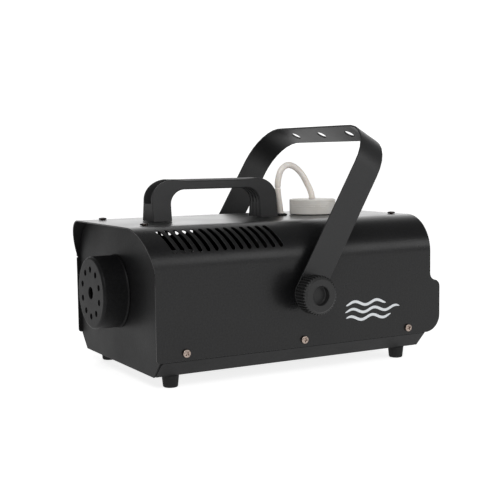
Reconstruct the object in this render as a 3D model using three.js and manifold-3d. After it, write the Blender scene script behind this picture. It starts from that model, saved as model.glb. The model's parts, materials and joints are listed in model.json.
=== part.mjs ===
// Fog machine: sheet-steel housing, heater and pump inside, tilting yoke, capped fluid tank.
//
// Units are millimetres. +Z is up, the nozzle blows towards -Y, X runs across the machine.
// The origin is on the surface that the feet stand on, at the middle of the machine's outline.

import * as THREE from 'three';
import { mergeVertices } from 'three/addons/utils/BufferGeometryUtils.js';
import Module from 'manifold-3d';

const wasm = await Module();
wasm.setup();

// ---------------------------------------------------------------- driving dimensions

const GAP = 0.3; // clearance between two pieces that touch
const SHEET = 1.2; // steel sheet thickness
const FOOT_H = 12;
const CUT = 6; // cutters reach this far past each side of a sheet
const FAR = 30; // cutters that trim a whole edge reach this far past it
const FACETS_SMALL = 12; // facets of small, medium and large round pieces
const FACETS_MEDIUM = 20;
const FACETS_LARGE = 36;

// housing
const HALF_W = 100;
const BODY_H = 135; // pan underside to cover top
const PAN_Z = FOOT_H;
const TOP_Z = PAN_Z + BODY_H;
const CORNER_R = 37; // outer radius of the cover's top corners
const CORNER_STEPS = 6; // flats that make up a rounded corner
const CHAMFER = 15.5; // 45 degree chamfer along the pan's long edges
const COVER_Z = PAN_Z + CHAMFER; // lower edge of the cover's sides
const COVER_FRONT = -148; // front edge of the cover's sides
const COVER_REAR = 158.5; // rear edge of the cover's top
const HOOD = 11.5; // how far the cover's top reaches past its side edges
const HOOD_POWER = 1.4; // shape of the hood's edge over the corner
const FRONT_CORNER_R = 3; // lower front corner of the cover's sides
const GUARD_REAR = 170.7; // rear edge of the low side guards
const GUARD_TOP = 88; // height where the guard's S-curve starts
const GUARD_CURVE_H = 14.3; // height of the S-curve
const GUARD_CORNER_R = 17.5;
const PANEL_FRONT = COVER_FRONT + 3.5; // outer face of the front panel
const PANEL_REAR = COVER_REAR - 5.4; // outer face of the rear panel
const FLOOR_VENTS = { rows: 7, y: -105, pitch: 9, width: 3.5, halfLength: 22 };
const REAR_VENTS = { rows: 5, z: 88, pitch: 8, width: 3, x0: 20, x1: 70 };

// cooling slots over both top corners
const SLOT_COUNT = 14;
const SLOT_PITCH = 8.48;
const SLOT_FIRST_Y = COVER_FRONT + 21.8; // lower end of the first slot
const SLOT_LEAN = 10.2; // the upper end is this much nearer the front
const SLOT_W = 4.2;
const SLOT_BLUNT = 0.16; // square of the share of the width that is left at a slot's end
const SLOT_LOW = THREE.MathUtils.degToRad(67);
const SLOT_HIGH = THREE.MathUtils.degToRad(24);

// nozzle
const NOZZLE_Z = PAN_Z + 69.6;
const NOZZLE_FACE = -170.7;
const NOZZLE_R = 34.8;
const NOZZLE_WALL = 2;
const NOZZLE_HOLE_R = 5.9;
const RING_HOLES = 10;
const RING_R = 22.5;
const RING_HOLE_R = 2.9;
const NOZZLE_LIP = 1.6; // flange at the drum's base
const NOZZLE_BORE_R = 15; // hole in the front panel for the heater's outlet

// yoke and knobs
const PIVOT_Y = COVER_FRONT + 153.2;
const PIVOT_Z = PAN_Z + 68;
const YOKE_TILT = THREE.MathUtils.degToRad(30.3); // lean to the rear at rest
const YOKE_HALF_W = 109.8;
const YOKE_TOP_HALF_W = 108.6; // the legs lean in a little towards the crosspiece
const YOKE_T = 1.8;
const YOKE_STRAP = 28;
const YOKE_REACH = 176.7; // pivot to outer face of the crosspiece
const YOKE_BEND_R = 41.5;
const YOKE_HOLE_SPACING = 51;
const YOKE_HOLE_R = 5.7;
const KNOB_FACE = 130.8;
const KNOB_R = 18.6;
const KNOB_FACE_R = 16.8;
const KNOB_BACK = 114.6;
const KNOB_HUB_R = 11;
const KNOB_TEETH = 36;
const KNOB_WELL_R = 9.1; // round well in the knob's face
const KNOB_WELL = 6.6;
const KNOB_BORE_END = KNOB_FACE - KNOB_WELL - 2.4;
const KNOB_TOOTH = 1.1; // depth of the knurling
const KNOB_BEVEL = 2.2;
const STUD_R = 4;
const SPACER_R = 10;
const WASHER_R = 12;
const WASHER_T = 1;
const NUT_R = 8;
const NUT_LEN = 8;

// carry handle
const HANDLE_FRONT = COVER_FRONT + 38.2;
const HANDLE_LEN = 139.6;
const HANDLE_H = 40.5;
const HANDLE_FOOT_HALF_W = 13.4;
const HANDLE_HALF_W = 10.7;
const HANDLE_FLARE = 20; // height over which the legs widen towards their feet
const HANDLE_LEG = 20;
const HANDLE_BAR = 10;
const HANDLE_OUTER_R = 20;
const HANDLE_OUTER_REACH = 24; // length of the oval shoulder along the bar
const HANDLE_INNER_R = 15;
const POCKET_HALF_W = 7.9;
const POCKET_DEPTH = 7;
const POCKET_FROM = 17; // height of the pocket's lower edge above the foot

// fluid system
const CAP_Y = COVER_FRONT + 228.3;
const CAP_R = 24.4;
const CAP_LOW = TOP_Z + 0.6;
const CAP_HIGH = TOP_Z + 16.4;
const NECK_R = 19;
const TANK_WALL = 2.2;
const TANK_CORNER_R = 12;
const CAP_WALL = 2;
const CAP_RIDGE = 0.5; // depth of the grip ridges round the cap
const GROMMET_Y = COVER_FRONT + 188.9;
const GROMMET_R = 5; // waist that sits in the cover's hole
const GROMMET_RIM_R = 6.8;
const HOSE_R = 3;
const HOSE_CLEAR_R = HOSE_R + 0.35;
const CAP_HOLE_R = 4.4; // leaves the hose room to enter at a slant

// screws: [x or side, y] places
const SIDE_SCREW_Z = COVER_Z + 7;
const SIDE_SCREW_Y = [-119.2, 5.6, 129.4];
const TOP_SCREWS = { front_left: [-52, -136.5], front_right: [52, -136.5],
  rear_left: [-52, 145], rear_right: [52, 145] };
const SCREW_HEAD_R = 3.9;
const SCREW_R = 1.9;
const SCREW_HOLE_R = 2.3;
const SCREW_HEAD = 2.5;
const SCREW_LEN = 6;
const SCREW_CROSS = { length: 3.8, width: 0.8, depth: 1.2 };

// ---------------------------------------------------------------- materials

const paint = () => new THREE.MeshStandardMaterial({ color: 0x2f3032, roughness: 0.6, metalness: 0.2 });
const plastic = (color = 0x232426) => new THREE.MeshStandardMaterial({ color, roughness: 0.55 });
const rubber = () => new THREE.MeshStandardMaterial({ color: 0x161617, roughness: 0.85 });
const steel = () => new THREE.MeshStandardMaterial({ color: 0xa9a59d, roughness: 0.35, metalness: 1 });
const bronze = () => new THREE.MeshStandardMaterial({ color: 0x9b8371, roughness: 0.3, metalness: 1 });
const brass = () => new THREE.MeshStandardMaterial({ color: 0xc8a24e, roughness: 0.3, metalness: 1 });
const alloy = () => new THREE.MeshStandardMaterial({ color: 0xb4b6b8, roughness: 0.45, metalness: 0.9 });
const milky = () => new THREE.MeshStandardMaterial({ color: 0xd8d2cb, roughness: 0.45 });
const board = () => new THREE.MeshStandardMaterial({ color: 0x1f5b3a, roughness: 0.5 });

// ---------------------------------------------------------------- solid helpers

const machine = new THREE.Group();
machine.name = 'fog_machine';

function solid(geometry) {
  const shape = geometry.index ? geometry.clone() : geometry;
  shape.deleteAttribute('normal');
  shape.deleteAttribute('uv');
  const merged = mergeVertices(shape, 1e-4);
  return new wasm.Manifold(new wasm.Mesh({
    numProp: 3,
    vertProperties: Float32Array.from(merged.attributes.position.array),
    triVerts: Uint32Array.from(merged.index.array),
  }));
}

function geometryOf(manifold) {
  const mesh = manifold.getMesh();
  const geometry = new THREE.BufferGeometry();
  geometry.setAttribute('position', new THREE.BufferAttribute(mesh.vertProperties, 3));
  geometry.setIndex(new THREE.BufferAttribute(mesh.triVerts, 1));
  geometry.computeVertexNormals();
  return geometry;
}

function add(name, shape, material) {
  const geometry = shape.isBufferGeometry ? shape : geometryOf(shape);
  const mesh = new THREE.Mesh(geometry, material);
  mesh.name = name;
  machine.add(mesh);
  return mesh;
}

function moved(geometry, x = 0, y = 0, z = 0) {
  return geometry.translate(x, y, z);
}

function box(x0, x1, y0, y1, z0, z1) {
  const block = new THREE.BoxGeometry(x1 - x0, y1 - y0, z1 - z0);
  return moved(block, (x0 + x1) / 2, (y0 + y1) / 2, (z0 + z1) / 2);
}

// A rod along an axis, from a to b on that axis, through the point (u, v) of the other two.
function rod(axis, a, b, u, v, radius, sides = 20, endRadius = radius) {
  const cylinder = new THREE.CylinderGeometry(endRadius, radius, b - a, sides);
  const middle = (a + b) / 2;
  if (axis === 'x') {
    return cylinder.rotateZ(-Math.PI / 2).translate(middle, u, v);
  }
  if (axis === 'y') {
    return cylinder.translate(u, middle, v);
  }
  return cylinder.rotateX(Math.PI / 2).translate(u, v, middle);
}

// A turned piece: outline points are [radius, distance along the axis].
function turned(outline, axis, sides = 32) {
  const points = outline.map(([radius, along]) => new THREE.Vector2(radius, along));
  const lathe = new THREE.LatheGeometry(points, sides);
  if (axis === 'x') {
    return lathe.rotateZ(-Math.PI / 2);
  }
  if (axis === 'z') {
    return lathe.rotateX(Math.PI / 2);
  }
  return lathe;
}

// A flat outline in the XZ plane, given thickness from y0 to y1.
function plateXZ(shape, y0, y1, curveSegments = CORNER_STEPS) {
  const plate = new THREE.ExtrudeGeometry(shape, { depth: y1 - y0, bevelEnabled: false, curveSegments });
  return plate.rotateX(Math.PI / 2).translate(0, y1, 0);
}

// A flat outline in the YZ plane, given thickness from x0 to x1.
function plateYZ(shape, x0, x1, curveSegments = 8) {
  const plate = new THREE.ExtrudeGeometry(shape, { depth: x1 - x0, bevelEnabled: false, curveSegments });
  return plate.rotateX(Math.PI / 2).rotateZ(Math.PI / 2).translate(x0, 0, 0);
}

function outline(points) {
  return new THREE.Shape(points.map(([u, v]) => new THREE.Vector2(u, v)));
}

function subtractAll(body, cutters) {
  return cutters.reduce((left, cutter) => left.subtract(solid(cutter)), body);
}

// ---------------------------------------------------------------- housing cover

// Inverted U across the machine: half width w, top z, corner radius r.
function archShape(w, low, top, r) {
  const shape = new THREE.Shape();
  shape.moveTo(-w, low);
  shape.lineTo(w, low);
  shape.lineTo(w, top - r);
  shape.absarc(w - r, top - r, r, 0, Math.PI / 2, false);
  shape.lineTo(-w + r, top);
  shape.absarc(-w + r, top - r, r, Math.PI / 2, Math.PI, false);
  shape.closePath();
  return shape;
}

// A closed bar that follows one top corner: station(angle) gives its front and rear y.
function cornerBar(side, angles, station, inner, outer) {
  const positions = [];
  const index = [];
  const centreX = HALF_W - CORNER_R;
  const centreZ = TOP_Z - CORNER_R;
  for (const angle of angles) {
    const [front, rear] = station(angle);
    for (const radius of [inner, outer]) {
      const x = side * (centreX + radius * Math.sin(angle));
      const z = centreZ + radius * Math.cos(angle);
      positions.push(x, front, z, x, rear, z);
    }
  }
  const quad = (a, b, c, d) => {
    const corners = side > 0 ? [a, c, b, a, d, c] : [a, b, c, a, c, d];
    index.push(...corners);
  };
  for (let i = 0; i < angles.length - 1; i += 1) {
    const p = 4 * i;
    const q = p + 4;
    quad(p, q, q + 1, p + 1);
    quad(p + 2, p + 3, q + 3, q + 2);
    quad(p, p + 2, q + 2, q);
    quad(p + 1, q + 1, q + 3, p + 3);
  }
  const last = 4 * (angles.length - 1);
  quad(0, 1, 3, 2);
  quad(last, last + 2, last + 3, last + 1);
  const geometry = new THREE.BufferGeometry();
  geometry.setAttribute('position', new THREE.Float32BufferAttribute(positions, 3));
  geometry.setIndex(index);
  return geometry;
}

function cornerAngles() {
  const angles = [];
  for (let i = 0; i <= CORNER_STEPS; i += 1) {
    angles.push((Math.PI / 2) * (i / CORNER_STEPS));
  }
  return angles;
}

function slotCutter(side, number) {
  const end = SLOT_W / 2 / CORNER_R; // angle taken up by a rounded end
  const facets = cornerAngles().filter((angle) => angle > SLOT_HIGH + 2 * end && angle < SLOT_LOW - 2 * end);
  const angles = [SLOT_HIGH, SLOT_HIGH + end, ...facets, SLOT_LOW - end, SLOT_LOW];
  const lowY = SLOT_FIRST_Y + number * SLOT_PITCH;
  return cornerBar(side, angles, (angle) => {
    const middle = lowY - (SLOT_LEAN * (SLOT_LOW - angle)) / (SLOT_LOW - SLOT_HIGH);
    const fromEnd = Math.min(angle - SLOT_HIGH, SLOT_LOW - angle) / end;
    const half = (SLOT_W / 2) * Math.sqrt(Math.max(SLOT_BLUNT, 1 - (1 - Math.min(fromEnd, 1)) ** 2));
    return [middle - half, middle + half];
  }, CORNER_R - CUT, CORNER_R + CUT);
}

function hoodAt(angle) {
  return COVER_FRONT - HOOD * (1 - (angle / (Math.PI / 2)) ** HOOD_POWER);
}

function makeCover() {
  const front = COVER_FRONT - HOOD;
  const outer = solid(plateXZ(archShape(HALF_W, COVER_Z, TOP_Z, CORNER_R), front, GUARD_REAR));
  const inner = solid(plateXZ(archShape(HALF_W - SHEET, COVER_Z - FAR, TOP_Z - SHEET, CORNER_R - SHEET),
    front - FAR, GUARD_REAR + FAR));
  const cutters = [];
  for (const side of [-1, 1]) {
    cutters.push(cornerBar(side, cornerAngles(), (angle) => [front - FAR, hoodAt(angle)],
      CORNER_R - CUT, CORNER_R + CUT));
    const x = side * HALF_W;
    cutters.push(plateYZ(frontTrim(front - FAR), x - CUT, x + CUT, 4));
    for (let number = 0; number < SLOT_COUNT; number += 1) {
      cutters.push(slotCutter(side, number));
    }
  }
  const across = (y, z, radius, facets) => rod('x', -HALF_W - FAR, HALF_W + FAR, y, z, radius, facets);
  const down = (x, y, radius, facets) => rod('z', TOP_Z - FAR, TOP_Z + FAR, x, y, radius, facets);
  cutters.push(plateYZ(rearTrim(), -HALF_W - FAR, HALF_W + FAR, 5));
  cutters.push(across(PIVOT_Y, PIVOT_Z, STUD_R + GAP, FACETS_MEDIUM));
  for (const y of SIDE_SCREW_Y) {
    cutters.push(across(y, SIDE_SCREW_Z, SCREW_HOLE_R, FACETS_SMALL));
  }
  for (const [x, y] of Object.values(TOP_SCREWS)) {
    cutters.push(down(x, y, SCREW_HOLE_R, FACETS_SMALL));
  }
  cutters.push(down(0, GROMMET_Y, GROMMET_R + GAP, FACETS_MEDIUM));
  cutters.push(down(0, CAP_Y, NECK_R + 2, FACETS_LARGE));
  return subtractAll(outer.subtract(inner), cutters);
}

// Everything in front of a side's front edge, whose lower corner is rounded.
function frontTrim(y0) {
  const r = FRONT_CORNER_R;
  const top = TOP_Z - CORNER_R;
  const shape = new THREE.Shape();
  shape.moveTo(y0, COVER_Z - FAR);
  shape.lineTo(COVER_FRONT + r, COVER_Z - FAR);
  shape.lineTo(COVER_FRONT + r, COVER_Z);
  shape.absarc(COVER_FRONT + r, COVER_Z + r, r, -Math.PI / 2, -Math.PI, true);
  shape.lineTo(COVER_FRONT, top);
  shape.lineTo(y0, top);
  shape.closePath();
  return shape;
}

// Everything behind the cover's rear edge: straight above, an S-curve, then the round guard corner.
function rearTrim() {
  const reach = GUARD_REAR - COVER_REAR;
  const sweep = 2 * Math.atan2(reach, GUARD_CURVE_H);
  const r = GUARD_CURVE_H / (2 * Math.sin(sweep));
  const shape = new THREE.Shape();
  shape.moveTo(GUARD_REAR + FAR, TOP_Z + FAR);
  shape.lineTo(COVER_REAR, TOP_Z + FAR);
  shape.lineTo(COVER_REAR, GUARD_TOP);
  shape.absarc(COVER_REAR + r, GUARD_TOP, r, Math.PI, Math.PI + sweep, false);
  shape.absarc(GUARD_REAR - r, GUARD_TOP - GUARD_CURVE_H, r, sweep, 0, true);
  shape.lineTo(GUARD_REAR, COVER_Z + GUARD_CORNER_R);
  shape.absarc(GUARD_REAR - GUARD_CORNER_R, COVER_Z + GUARD_CORNER_R, GUARD_CORNER_R, 0, -Math.PI / 2, true);
  shape.lineTo(GUARD_REAR - GUARD_CORNER_R, COVER_Z - FAR);
  shape.lineTo(GUARD_REAR + FAR, COVER_Z - FAR);
  shape.closePath();
  return shape;
}

// ---------------------------------------------------------------- pan and panels

const FLOOR = PAN_Z + SHEET;
const INNER_HALF_W = HALF_W - SHEET - GAP; // widest a piece inside the cover can be
const PAN_FRONT = PANEL_FRONT + SHEET + GAP;
const PAN_REAR = PANEL_REAR - SHEET - GAP;
const PAN_FLOOR_HALF = HALF_W - CHAMFER;
const FLANGE_TOP = SIDE_SCREW_Z + 8; // top of the pan's flanges inside the cover
const FOOT_X = 75.5;
const FOOT_Y = [-124, 133];
const FOOT_R = 8.1;

function makePan() {
  const flangeOut = INNER_HALF_W;
  const flangeIn = flangeOut - SHEET;
  const slope = SHEET * 0.55; // moves the inner face so that the chamfer keeps the sheet's thickness
  const bend = COVER_Z + SHEET - 1.5; // where the flange's inner face meets the chamfer
  const half = [
    [PAN_FLOOR_HALF, PAN_Z],
    [HALF_W - GAP, COVER_Z - GAP],
    [flangeOut, COVER_Z - GAP],
    [flangeOut, FLANGE_TOP],
    [flangeIn, FLANGE_TOP],
    [flangeIn, bend],
    [PAN_FLOOR_HALF - slope, PAN_Z + SHEET],
  ];
  const mirrored = half.map(([x, z]) => [-x, z]).reverse();
  const section = outline([...half, ...mirrored]);
  const cutters = [];
  for (const y of SIDE_SCREW_Y) {
    cutters.push(rod('x', -HALF_W, HALF_W, y, SIDE_SCREW_Z, SCREW_HOLE_R, FACETS_SMALL));
  }
  for (const x of [-FOOT_X, FOOT_X]) {
    for (const y of FOOT_Y) {
      cutters.push(rod('z', PAN_Z - CUT, PAN_Z + CUT, x, y, SCREW_HOLE_R, FACETS_SMALL));
    }
  }
  const vents = FLOOR_VENTS;
  for (let row = 0; row < vents.rows; row += 1) {
    const y = vents.y + row * vents.pitch;
    cutters.push(box(-vents.halfLength, vents.halfLength, y, y + vents.width, PAN_Z - CUT, PAN_Z + CUT));
  }
  return subtractAll(solid(plateXZ(section, PAN_FRONT, PAN_REAR)), cutters);
}

// The outline shared by both end panels: chamfered below, round shoulders above.
function panelShape() {
  const w = INNER_HALF_W - GAP;
  const r = CORNER_R - SHEET - 2 * GAP;
  const top = TOP_Z - SHEET - 2 * GAP;
  const nick = 2; // the chamfer stops this short of the cover's lower edge
  const shape = new THREE.Shape();
  shape.moveTo(-PAN_FLOOR_HALF, PAN_Z);
  shape.lineTo(PAN_FLOOR_HALF, PAN_Z);
  shape.lineTo(PAN_FLOOR_HALF + CHAMFER - nick, COVER_Z - nick);
  shape.lineTo(w, COVER_Z);
  shape.lineTo(w, top - r);
  shape.absarc(w - r, top - r, r, 0, Math.PI / 2, false);
  shape.lineTo(-w + r, top);
  shape.absarc(-w + r, top - r, r, Math.PI / 2, Math.PI, false);
  shape.lineTo(-w, COVER_Z);
  shape.lineTo(-PAN_FLOOR_HALF - CHAMFER + nick, COVER_Z - nick);
  shape.closePath();
  return shape;
}

function makeFrontPanel() {
  const plate = solid(plateXZ(panelShape(), PANEL_FRONT, PANEL_FRONT + SHEET));
  const bore = rod('y', PANEL_FRONT - CUT, PANEL_FRONT + CUT, 0, NOZZLE_Z, NOZZLE_BORE_R, FACETS_LARGE);
  return subtractAll(plate, [bore]);
}

// Rear panel fittings: centres across and up.
const INLET = { x: -55, z: 52, w: 27, h: 20 };
const SWITCH = { x: -8, z: 52, w: 19, h: 13 };
const FUSE = { x: 28, z: 52, r: 6.2 };
const REMOTE = { x: 62, z: 52, r: 8 };

function makeRearPanel() {
  const plate = solid(plateXZ(panelShape(), PANEL_REAR - SHEET, PANEL_REAR));
  const y0 = PANEL_REAR - CUT;
  const y1 = PANEL_REAR + CUT;
  const window = (fitting) => blockAt(fitting, GAP, GAP, y0, y1);
  const hole = ({ x, z, r }) => rod('y', y0, y1, x, z, r + GAP, FACETS_MEDIUM);
  const cutters = [window(INLET), window(SWITCH), hole(FUSE), hole(REMOTE)];
  const vents = REAR_VENTS;
  for (let row = 0; row < vents.rows; row += 1) {
    const z = vents.z + row * vents.pitch;
    cutters.push(box(-vents.x1, -vents.x0, y0, y1, z, z + vents.width));
    cutters.push(box(vents.x0, vents.x1, y0, y1, z, z + vents.width));
  }
  return subtractAll(plate, cutters);
}

// ---------------------------------------------------------------- nozzle and heater

const DRUM_BACK = PANEL_FRONT - GAP;
const HEATER_FRONT = -128;
const HEATER_REAR = -32;
const HEATER_HALF_W = 29;
const HEATER_HALF_H = 22;
const GROOVES = { rows: 4, first: 14, pitch: 20, width: 8, depth: 4, halfHeight: 16 };
const TIP = { r: 4.5, bore: 0.8, point: 2.4, taper: 4, recess: 9, collarR: 8, collar: 12 };
const SHIELD = { side: 9, above: 10, t: 0.8, front: 4, rear: 12 }; // clearances round the heater
const BRACKET_T = 1.5;
const BRACKET_W = 10;
const HEATER_SADDLE = { leg: 22, foot: 34 }; // half widths
const THERMOSTAT = { y: -80, r: 8, height: 7 };

function makeNozzleCover() {
  const fillet = 2;
  const r = NOZZLE_R;
  const lip = r + NOZZLE_LIP;
  const profile = [
    [0, NOZZLE_FACE],
    [r - fillet, NOZZLE_FACE],
    [r - fillet * 0.4, NOZZLE_FACE + fillet * 0.3],
    [r, NOZZLE_FACE + fillet],
    [r, DRUM_BACK - 2.4],
    [lip, DRUM_BACK - 1.2],
    [lip, DRUM_BACK],
    [r - NOZZLE_WALL, DRUM_BACK],
    [r - NOZZLE_WALL, NOZZLE_FACE + NOZZLE_WALL],
    [0, NOZZLE_FACE + NOZZLE_WALL],
  ];
  const drum = solid(turned(profile, 'y', FACETS_LARGE).translate(0, 0, NOZZLE_Z));
  const hole = (x, z, radius, facets) => rod('y', NOZZLE_FACE - CUT, NOZZLE_FACE + CUT, x, z, radius, facets);
  const holes = [hole(0, NOZZLE_Z, NOZZLE_HOLE_R, 16)];
  for (let i = 0; i < RING_HOLES; i += 1) {
    const angle = (i * 2 * Math.PI) / RING_HOLES;
    holes.push(hole(RING_R * Math.sin(angle), NOZZLE_Z + RING_R * Math.cos(angle), RING_HOLE_R, 8));
  }
  return subtractAll(drum, holes);
}

function makeNozzleTip() {
  const y0 = NOZZLE_FACE + TIP.recess;
  const profile = [
    [TIP.bore, y0],
    [TIP.point, y0],
    [TIP.r, y0 + TIP.taper],
    [TIP.r, HEATER_FRONT - TIP.collar],
    [TIP.collarR, HEATER_FRONT - TIP.collar],
    [TIP.collarR, HEATER_FRONT - GAP],
    [TIP.bore, HEATER_FRONT - GAP],
    [TIP.bore, y0],
  ];
  return turned(profile, 'y', 16).translate(0, 0, NOZZLE_Z);
}

function makeHeater() {
  const w = HEATER_HALF_W;
  const h = HEATER_HALF_H;
  const { rows, first, pitch, width, depth, halfHeight } = GROOVES;
  const low = NOZZLE_Z - halfHeight;
  const high = NOZZLE_Z + halfHeight;
  const block = solid(box(-w, w, HEATER_FRONT, HEATER_REAR, NOZZLE_Z - h, NOZZLE_Z + h));
  const cutters = [];
  for (let i = 0; i < rows; i += 1) {
    const y = HEATER_FRONT + first + i * pitch;
    cutters.push(box(-w - CUT, -w + depth, y, y + width, low, high));
    cutters.push(box(w - depth, w + CUT, y, y + width, low, high));
  }
  return subtractAll(block, cutters);
}

function makeThermostat() {
  const top = NOZZLE_Z + HEATER_HALF_H;
  return rod('z', top + GAP, top + THERMOSTAT.height, 0, THERMOSTAT.y, THERMOSTAT.r, FACETS_SMALL);
}

// Thin sheet hood that stands on the pan and keeps the heater's heat off the cover.
function makeHeatShield() {
  const { side, above, t, front, rear } = SHIELD;
  const x = HEATER_HALF_W + side;
  const low = FLOOR + GAP;
  const top = NOZZLE_Z + HEATER_HALF_H + above;
  const section = outline([[x, low], [x, top], [-x, top], [-x, low], [-x + t, low], [-x + t, top - t],
    [x - t, top - t], [x - t, low]]);
  return plateXZ(section, HEATER_FRONT + front, HEATER_REAR - rear);
}

// A saddle with feet that turn outwards, from the pan up to the given height.
function makeSaddle(top, { leg, foot }) {
  const floor = FLOOR + GAP;
  const t = BRACKET_T;
  return outline([[-foot, floor], [-leg, floor], [-leg, top - t], [leg, top - t], [leg, floor], [foot, floor],
    [foot, floor + t], [leg + t, floor + t], [leg + t, top], [-leg - t, top], [-leg - t, floor + t],
    [-foot, floor + t]]);
}

function makeHeaterBracket(y) {
  return plateXZ(makeSaddle(NOZZLE_Z - HEATER_HALF_H - GAP, HEATER_SADDLE), y, y + BRACKET_W);
}

// ---------------------------------------------------------------- pump and fluid parts

const PUMP = { x0: 22, x1: 62, y: 6, z: 46, coreR: 9, coreEnd: 6, outletR: 3.4, inletR: 2.6 };
const PUMP_HALF = 17;
const PUMP_SADDLE = { leg: 11, foot: 23 };
const BARB = 10; // length of the pump's inlet and outlet

function makePump() {
  const { x0, x1, y, z, coreR, coreEnd, outletR, inletR } = PUMP;
  const h = PUMP_HALF;
  const coil = solid(box(x0 + coreEnd, x1 - coreEnd, y - h, y + h, z - h, z + h));
  const core = rod('x', x0, x1, y, z, coreR, 16);
  const outlet = rod('x', x0 - BARB, x0 + 1, y, z, outletR, FACETS_SMALL);
  const inlet = rod('x', x1 - 1, x1 + BARB, y, z, inletR, FACETS_SMALL);
  return coil.add(solid(core)).add(solid(outlet)).add(solid(inlet));
}

function makePumpBracket() {
  const saddle = makeSaddle(PUMP.z - PUMP_HALF - GAP, PUMP_SADDLE);
  const middle = (PUMP.x0 + PUMP.x1) / 2;
  return plateXZ(saddle, PUMP.y - BRACKET_W, PUMP.y + BRACKET_W).translate(middle, 0, 0);
}

// A round bar of the given radius along a smooth curve through the points.
function tube(points, radius, sides, steps) {
  const path = new THREE.CatmullRomCurve3(points.map(([x, y, z]) => new THREE.Vector3(x, y, z)), false,
    'centripetal');
  const section = new THREE.Shape();
  section.absarc(0, 0, radius, 0, 2 * Math.PI, false);
  return new THREE.ExtrudeGeometry(section, {
    steps, extrudePath: path, bevelEnabled: false, curveSegments: sides,
  });
}

const PIPE_R = 1.8;
const FILTER = { low: 22, high: 34, r: 5 };

// From the pump's inlet up through the grommet, over in an arch, down through the cap's hole
// and on to the pick-up filter near the tank's floor.
const HOSE_ROUTE = [
  [PUMP.x1 + BARB + GAP, PUMP.y, PUMP.z],
  [PUMP.x1 + BARB + 6, PUMP.y, PUMP.z],
  [86, 12, 56],
  [86, 24, 74],
  [70, 34, 94],
  [36, GROMMET_Y - 3, 110],
  [8, GROMMET_Y - 0.5, 120],
  [0, GROMMET_Y + 0.4, 134],
  [0, GROMMET_Y, 147.4],
  [0, GROMMET_Y - 1.3, 157.9],
  [0, GROMMET_Y - 2.9, 168.4],
  [0, GROMMET_Y - 3.3, 176.3],
  [0, GROMMET_Y - 2.7, 184],
  [0, GROMMET_Y - 0.1, 192.3],
  [0, GROMMET_Y + 3.6, 197],
  [0, GROMMET_Y + 9, 199.3],
  [0, GROMMET_Y + 15.4, 198.2],
  [0, GROMMET_Y + 21.1, 194.7],
  [0, GROMMET_Y + 27.3, 188.4],
  [0, GROMMET_Y + 33.2, 179],
  [0, GROMMET_Y + 37.2, 171.4],
  [0, CAP_Y, CAP_HIGH - 0.5],
  [0, CAP_Y + 1.6, 152],
  [0, CAP_Y + 1.8, 130],
  [0, CAP_Y, 80],
  [0, CAP_Y, FILTER.high],
];

const FLUID_PIPE_ROUTE = [
  [PUMP.x0 - BARB - GAP, PUMP.y, PUMP.z],
  [4, PUMP.y, PUMP.z + 1],
  [-4, PUMP.y - 2, PUMP.z + 9],
  [-6, PUMP.y - 6, PUMP.z + 22],
  [-3, PUMP.y - 15, NOZZLE_Z - 3],
  [0, HEATER_REAR + 10, NOZZLE_Z],
  [0, HEATER_REAR + GAP, NOZZLE_Z],
];

const TANK = { halfW: 80, y0: 46, y1: 122, z0: FLOOR + GAP, z1: 134 };

function roundedRect(u0, u1, v0, v1, r) {
  const shape = new THREE.Shape();
  shape.moveTo(u0 + r, v0);
  shape.lineTo(u1 - r, v0);
  shape.absarc(u1 - r, v0 + r, r, -Math.PI / 2, 0, false);
  shape.lineTo(u1, v1 - r);
  shape.absarc(u1 - r, v1 - r, r, 0, Math.PI / 2, false);
  shape.lineTo(u0 + r, v1);
  shape.absarc(u0 + r, v1 - r, r, Math.PI / 2, Math.PI, false);
  shape.lineTo(u0, v0 + r);
  shape.absarc(u0 + r, v0 + r, r, Math.PI, 1.5 * Math.PI, false);
  shape.closePath();
  return shape;
}

function makeTank() {
  const w = TANK_WALL;
  const { halfW, y0, y1, z0, z1 } = TANK;
  const neckTop = CAP_HIGH - 3;
  const outer = roundedRect(-halfW, halfW, z0, z1, TANK_CORNER_R);
  const inner = roundedRect(-halfW + w, halfW - w, z0 + w, z1 - w, TANK_CORNER_R - w);
  const neck = rod('z', z1 - 1, neckTop, 0, CAP_Y, NECK_R, FACETS_LARGE);
  const bore = rod('z', z1 - 2 * w, neckTop + CUT, 0, CAP_Y, NECK_R - w, FACETS_LARGE);
  const shell = solid(plateXZ(outer, y0, y1, 4)).add(solid(neck));
  const hollow = solid(plateXZ(inner, y0 + w, y1 - w, 4)).add(solid(bore));
  return shell.subtract(hollow);
}

function makeTankCap() {
  const inner = NECK_R + 2 * GAP;
  const bevel = 1.2;
  const rows = 3;
  const high = CAP_HIGH - 1;
  const step = (high - CAP_LOW) / rows;
  const profile = [
    [CAP_HOLE_R, CAP_HIGH - CAP_WALL],
    [CAP_HOLE_R, CAP_HIGH],
    [CAP_R - bevel, CAP_HIGH],
    [CAP_R, high],
  ];
  for (let row = 1; row < rows; row += 1) {
    const z = high - row * step;
    profile.push([CAP_R, z + CAP_RIDGE], [CAP_R - CAP_RIDGE, z], [CAP_R, z - CAP_RIDGE]);
  }
  profile.push([CAP_R, CAP_LOW]);
  profile.push([inner, CAP_LOW]);
  profile.push([inner, CAP_HIGH - CAP_WALL]);
  profile.push([CAP_HOLE_R, CAP_HIGH - CAP_WALL]);
  return turned(profile.reverse(), 'z', FACETS_LARGE).translate(0, CAP_Y, 0);
}

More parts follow.
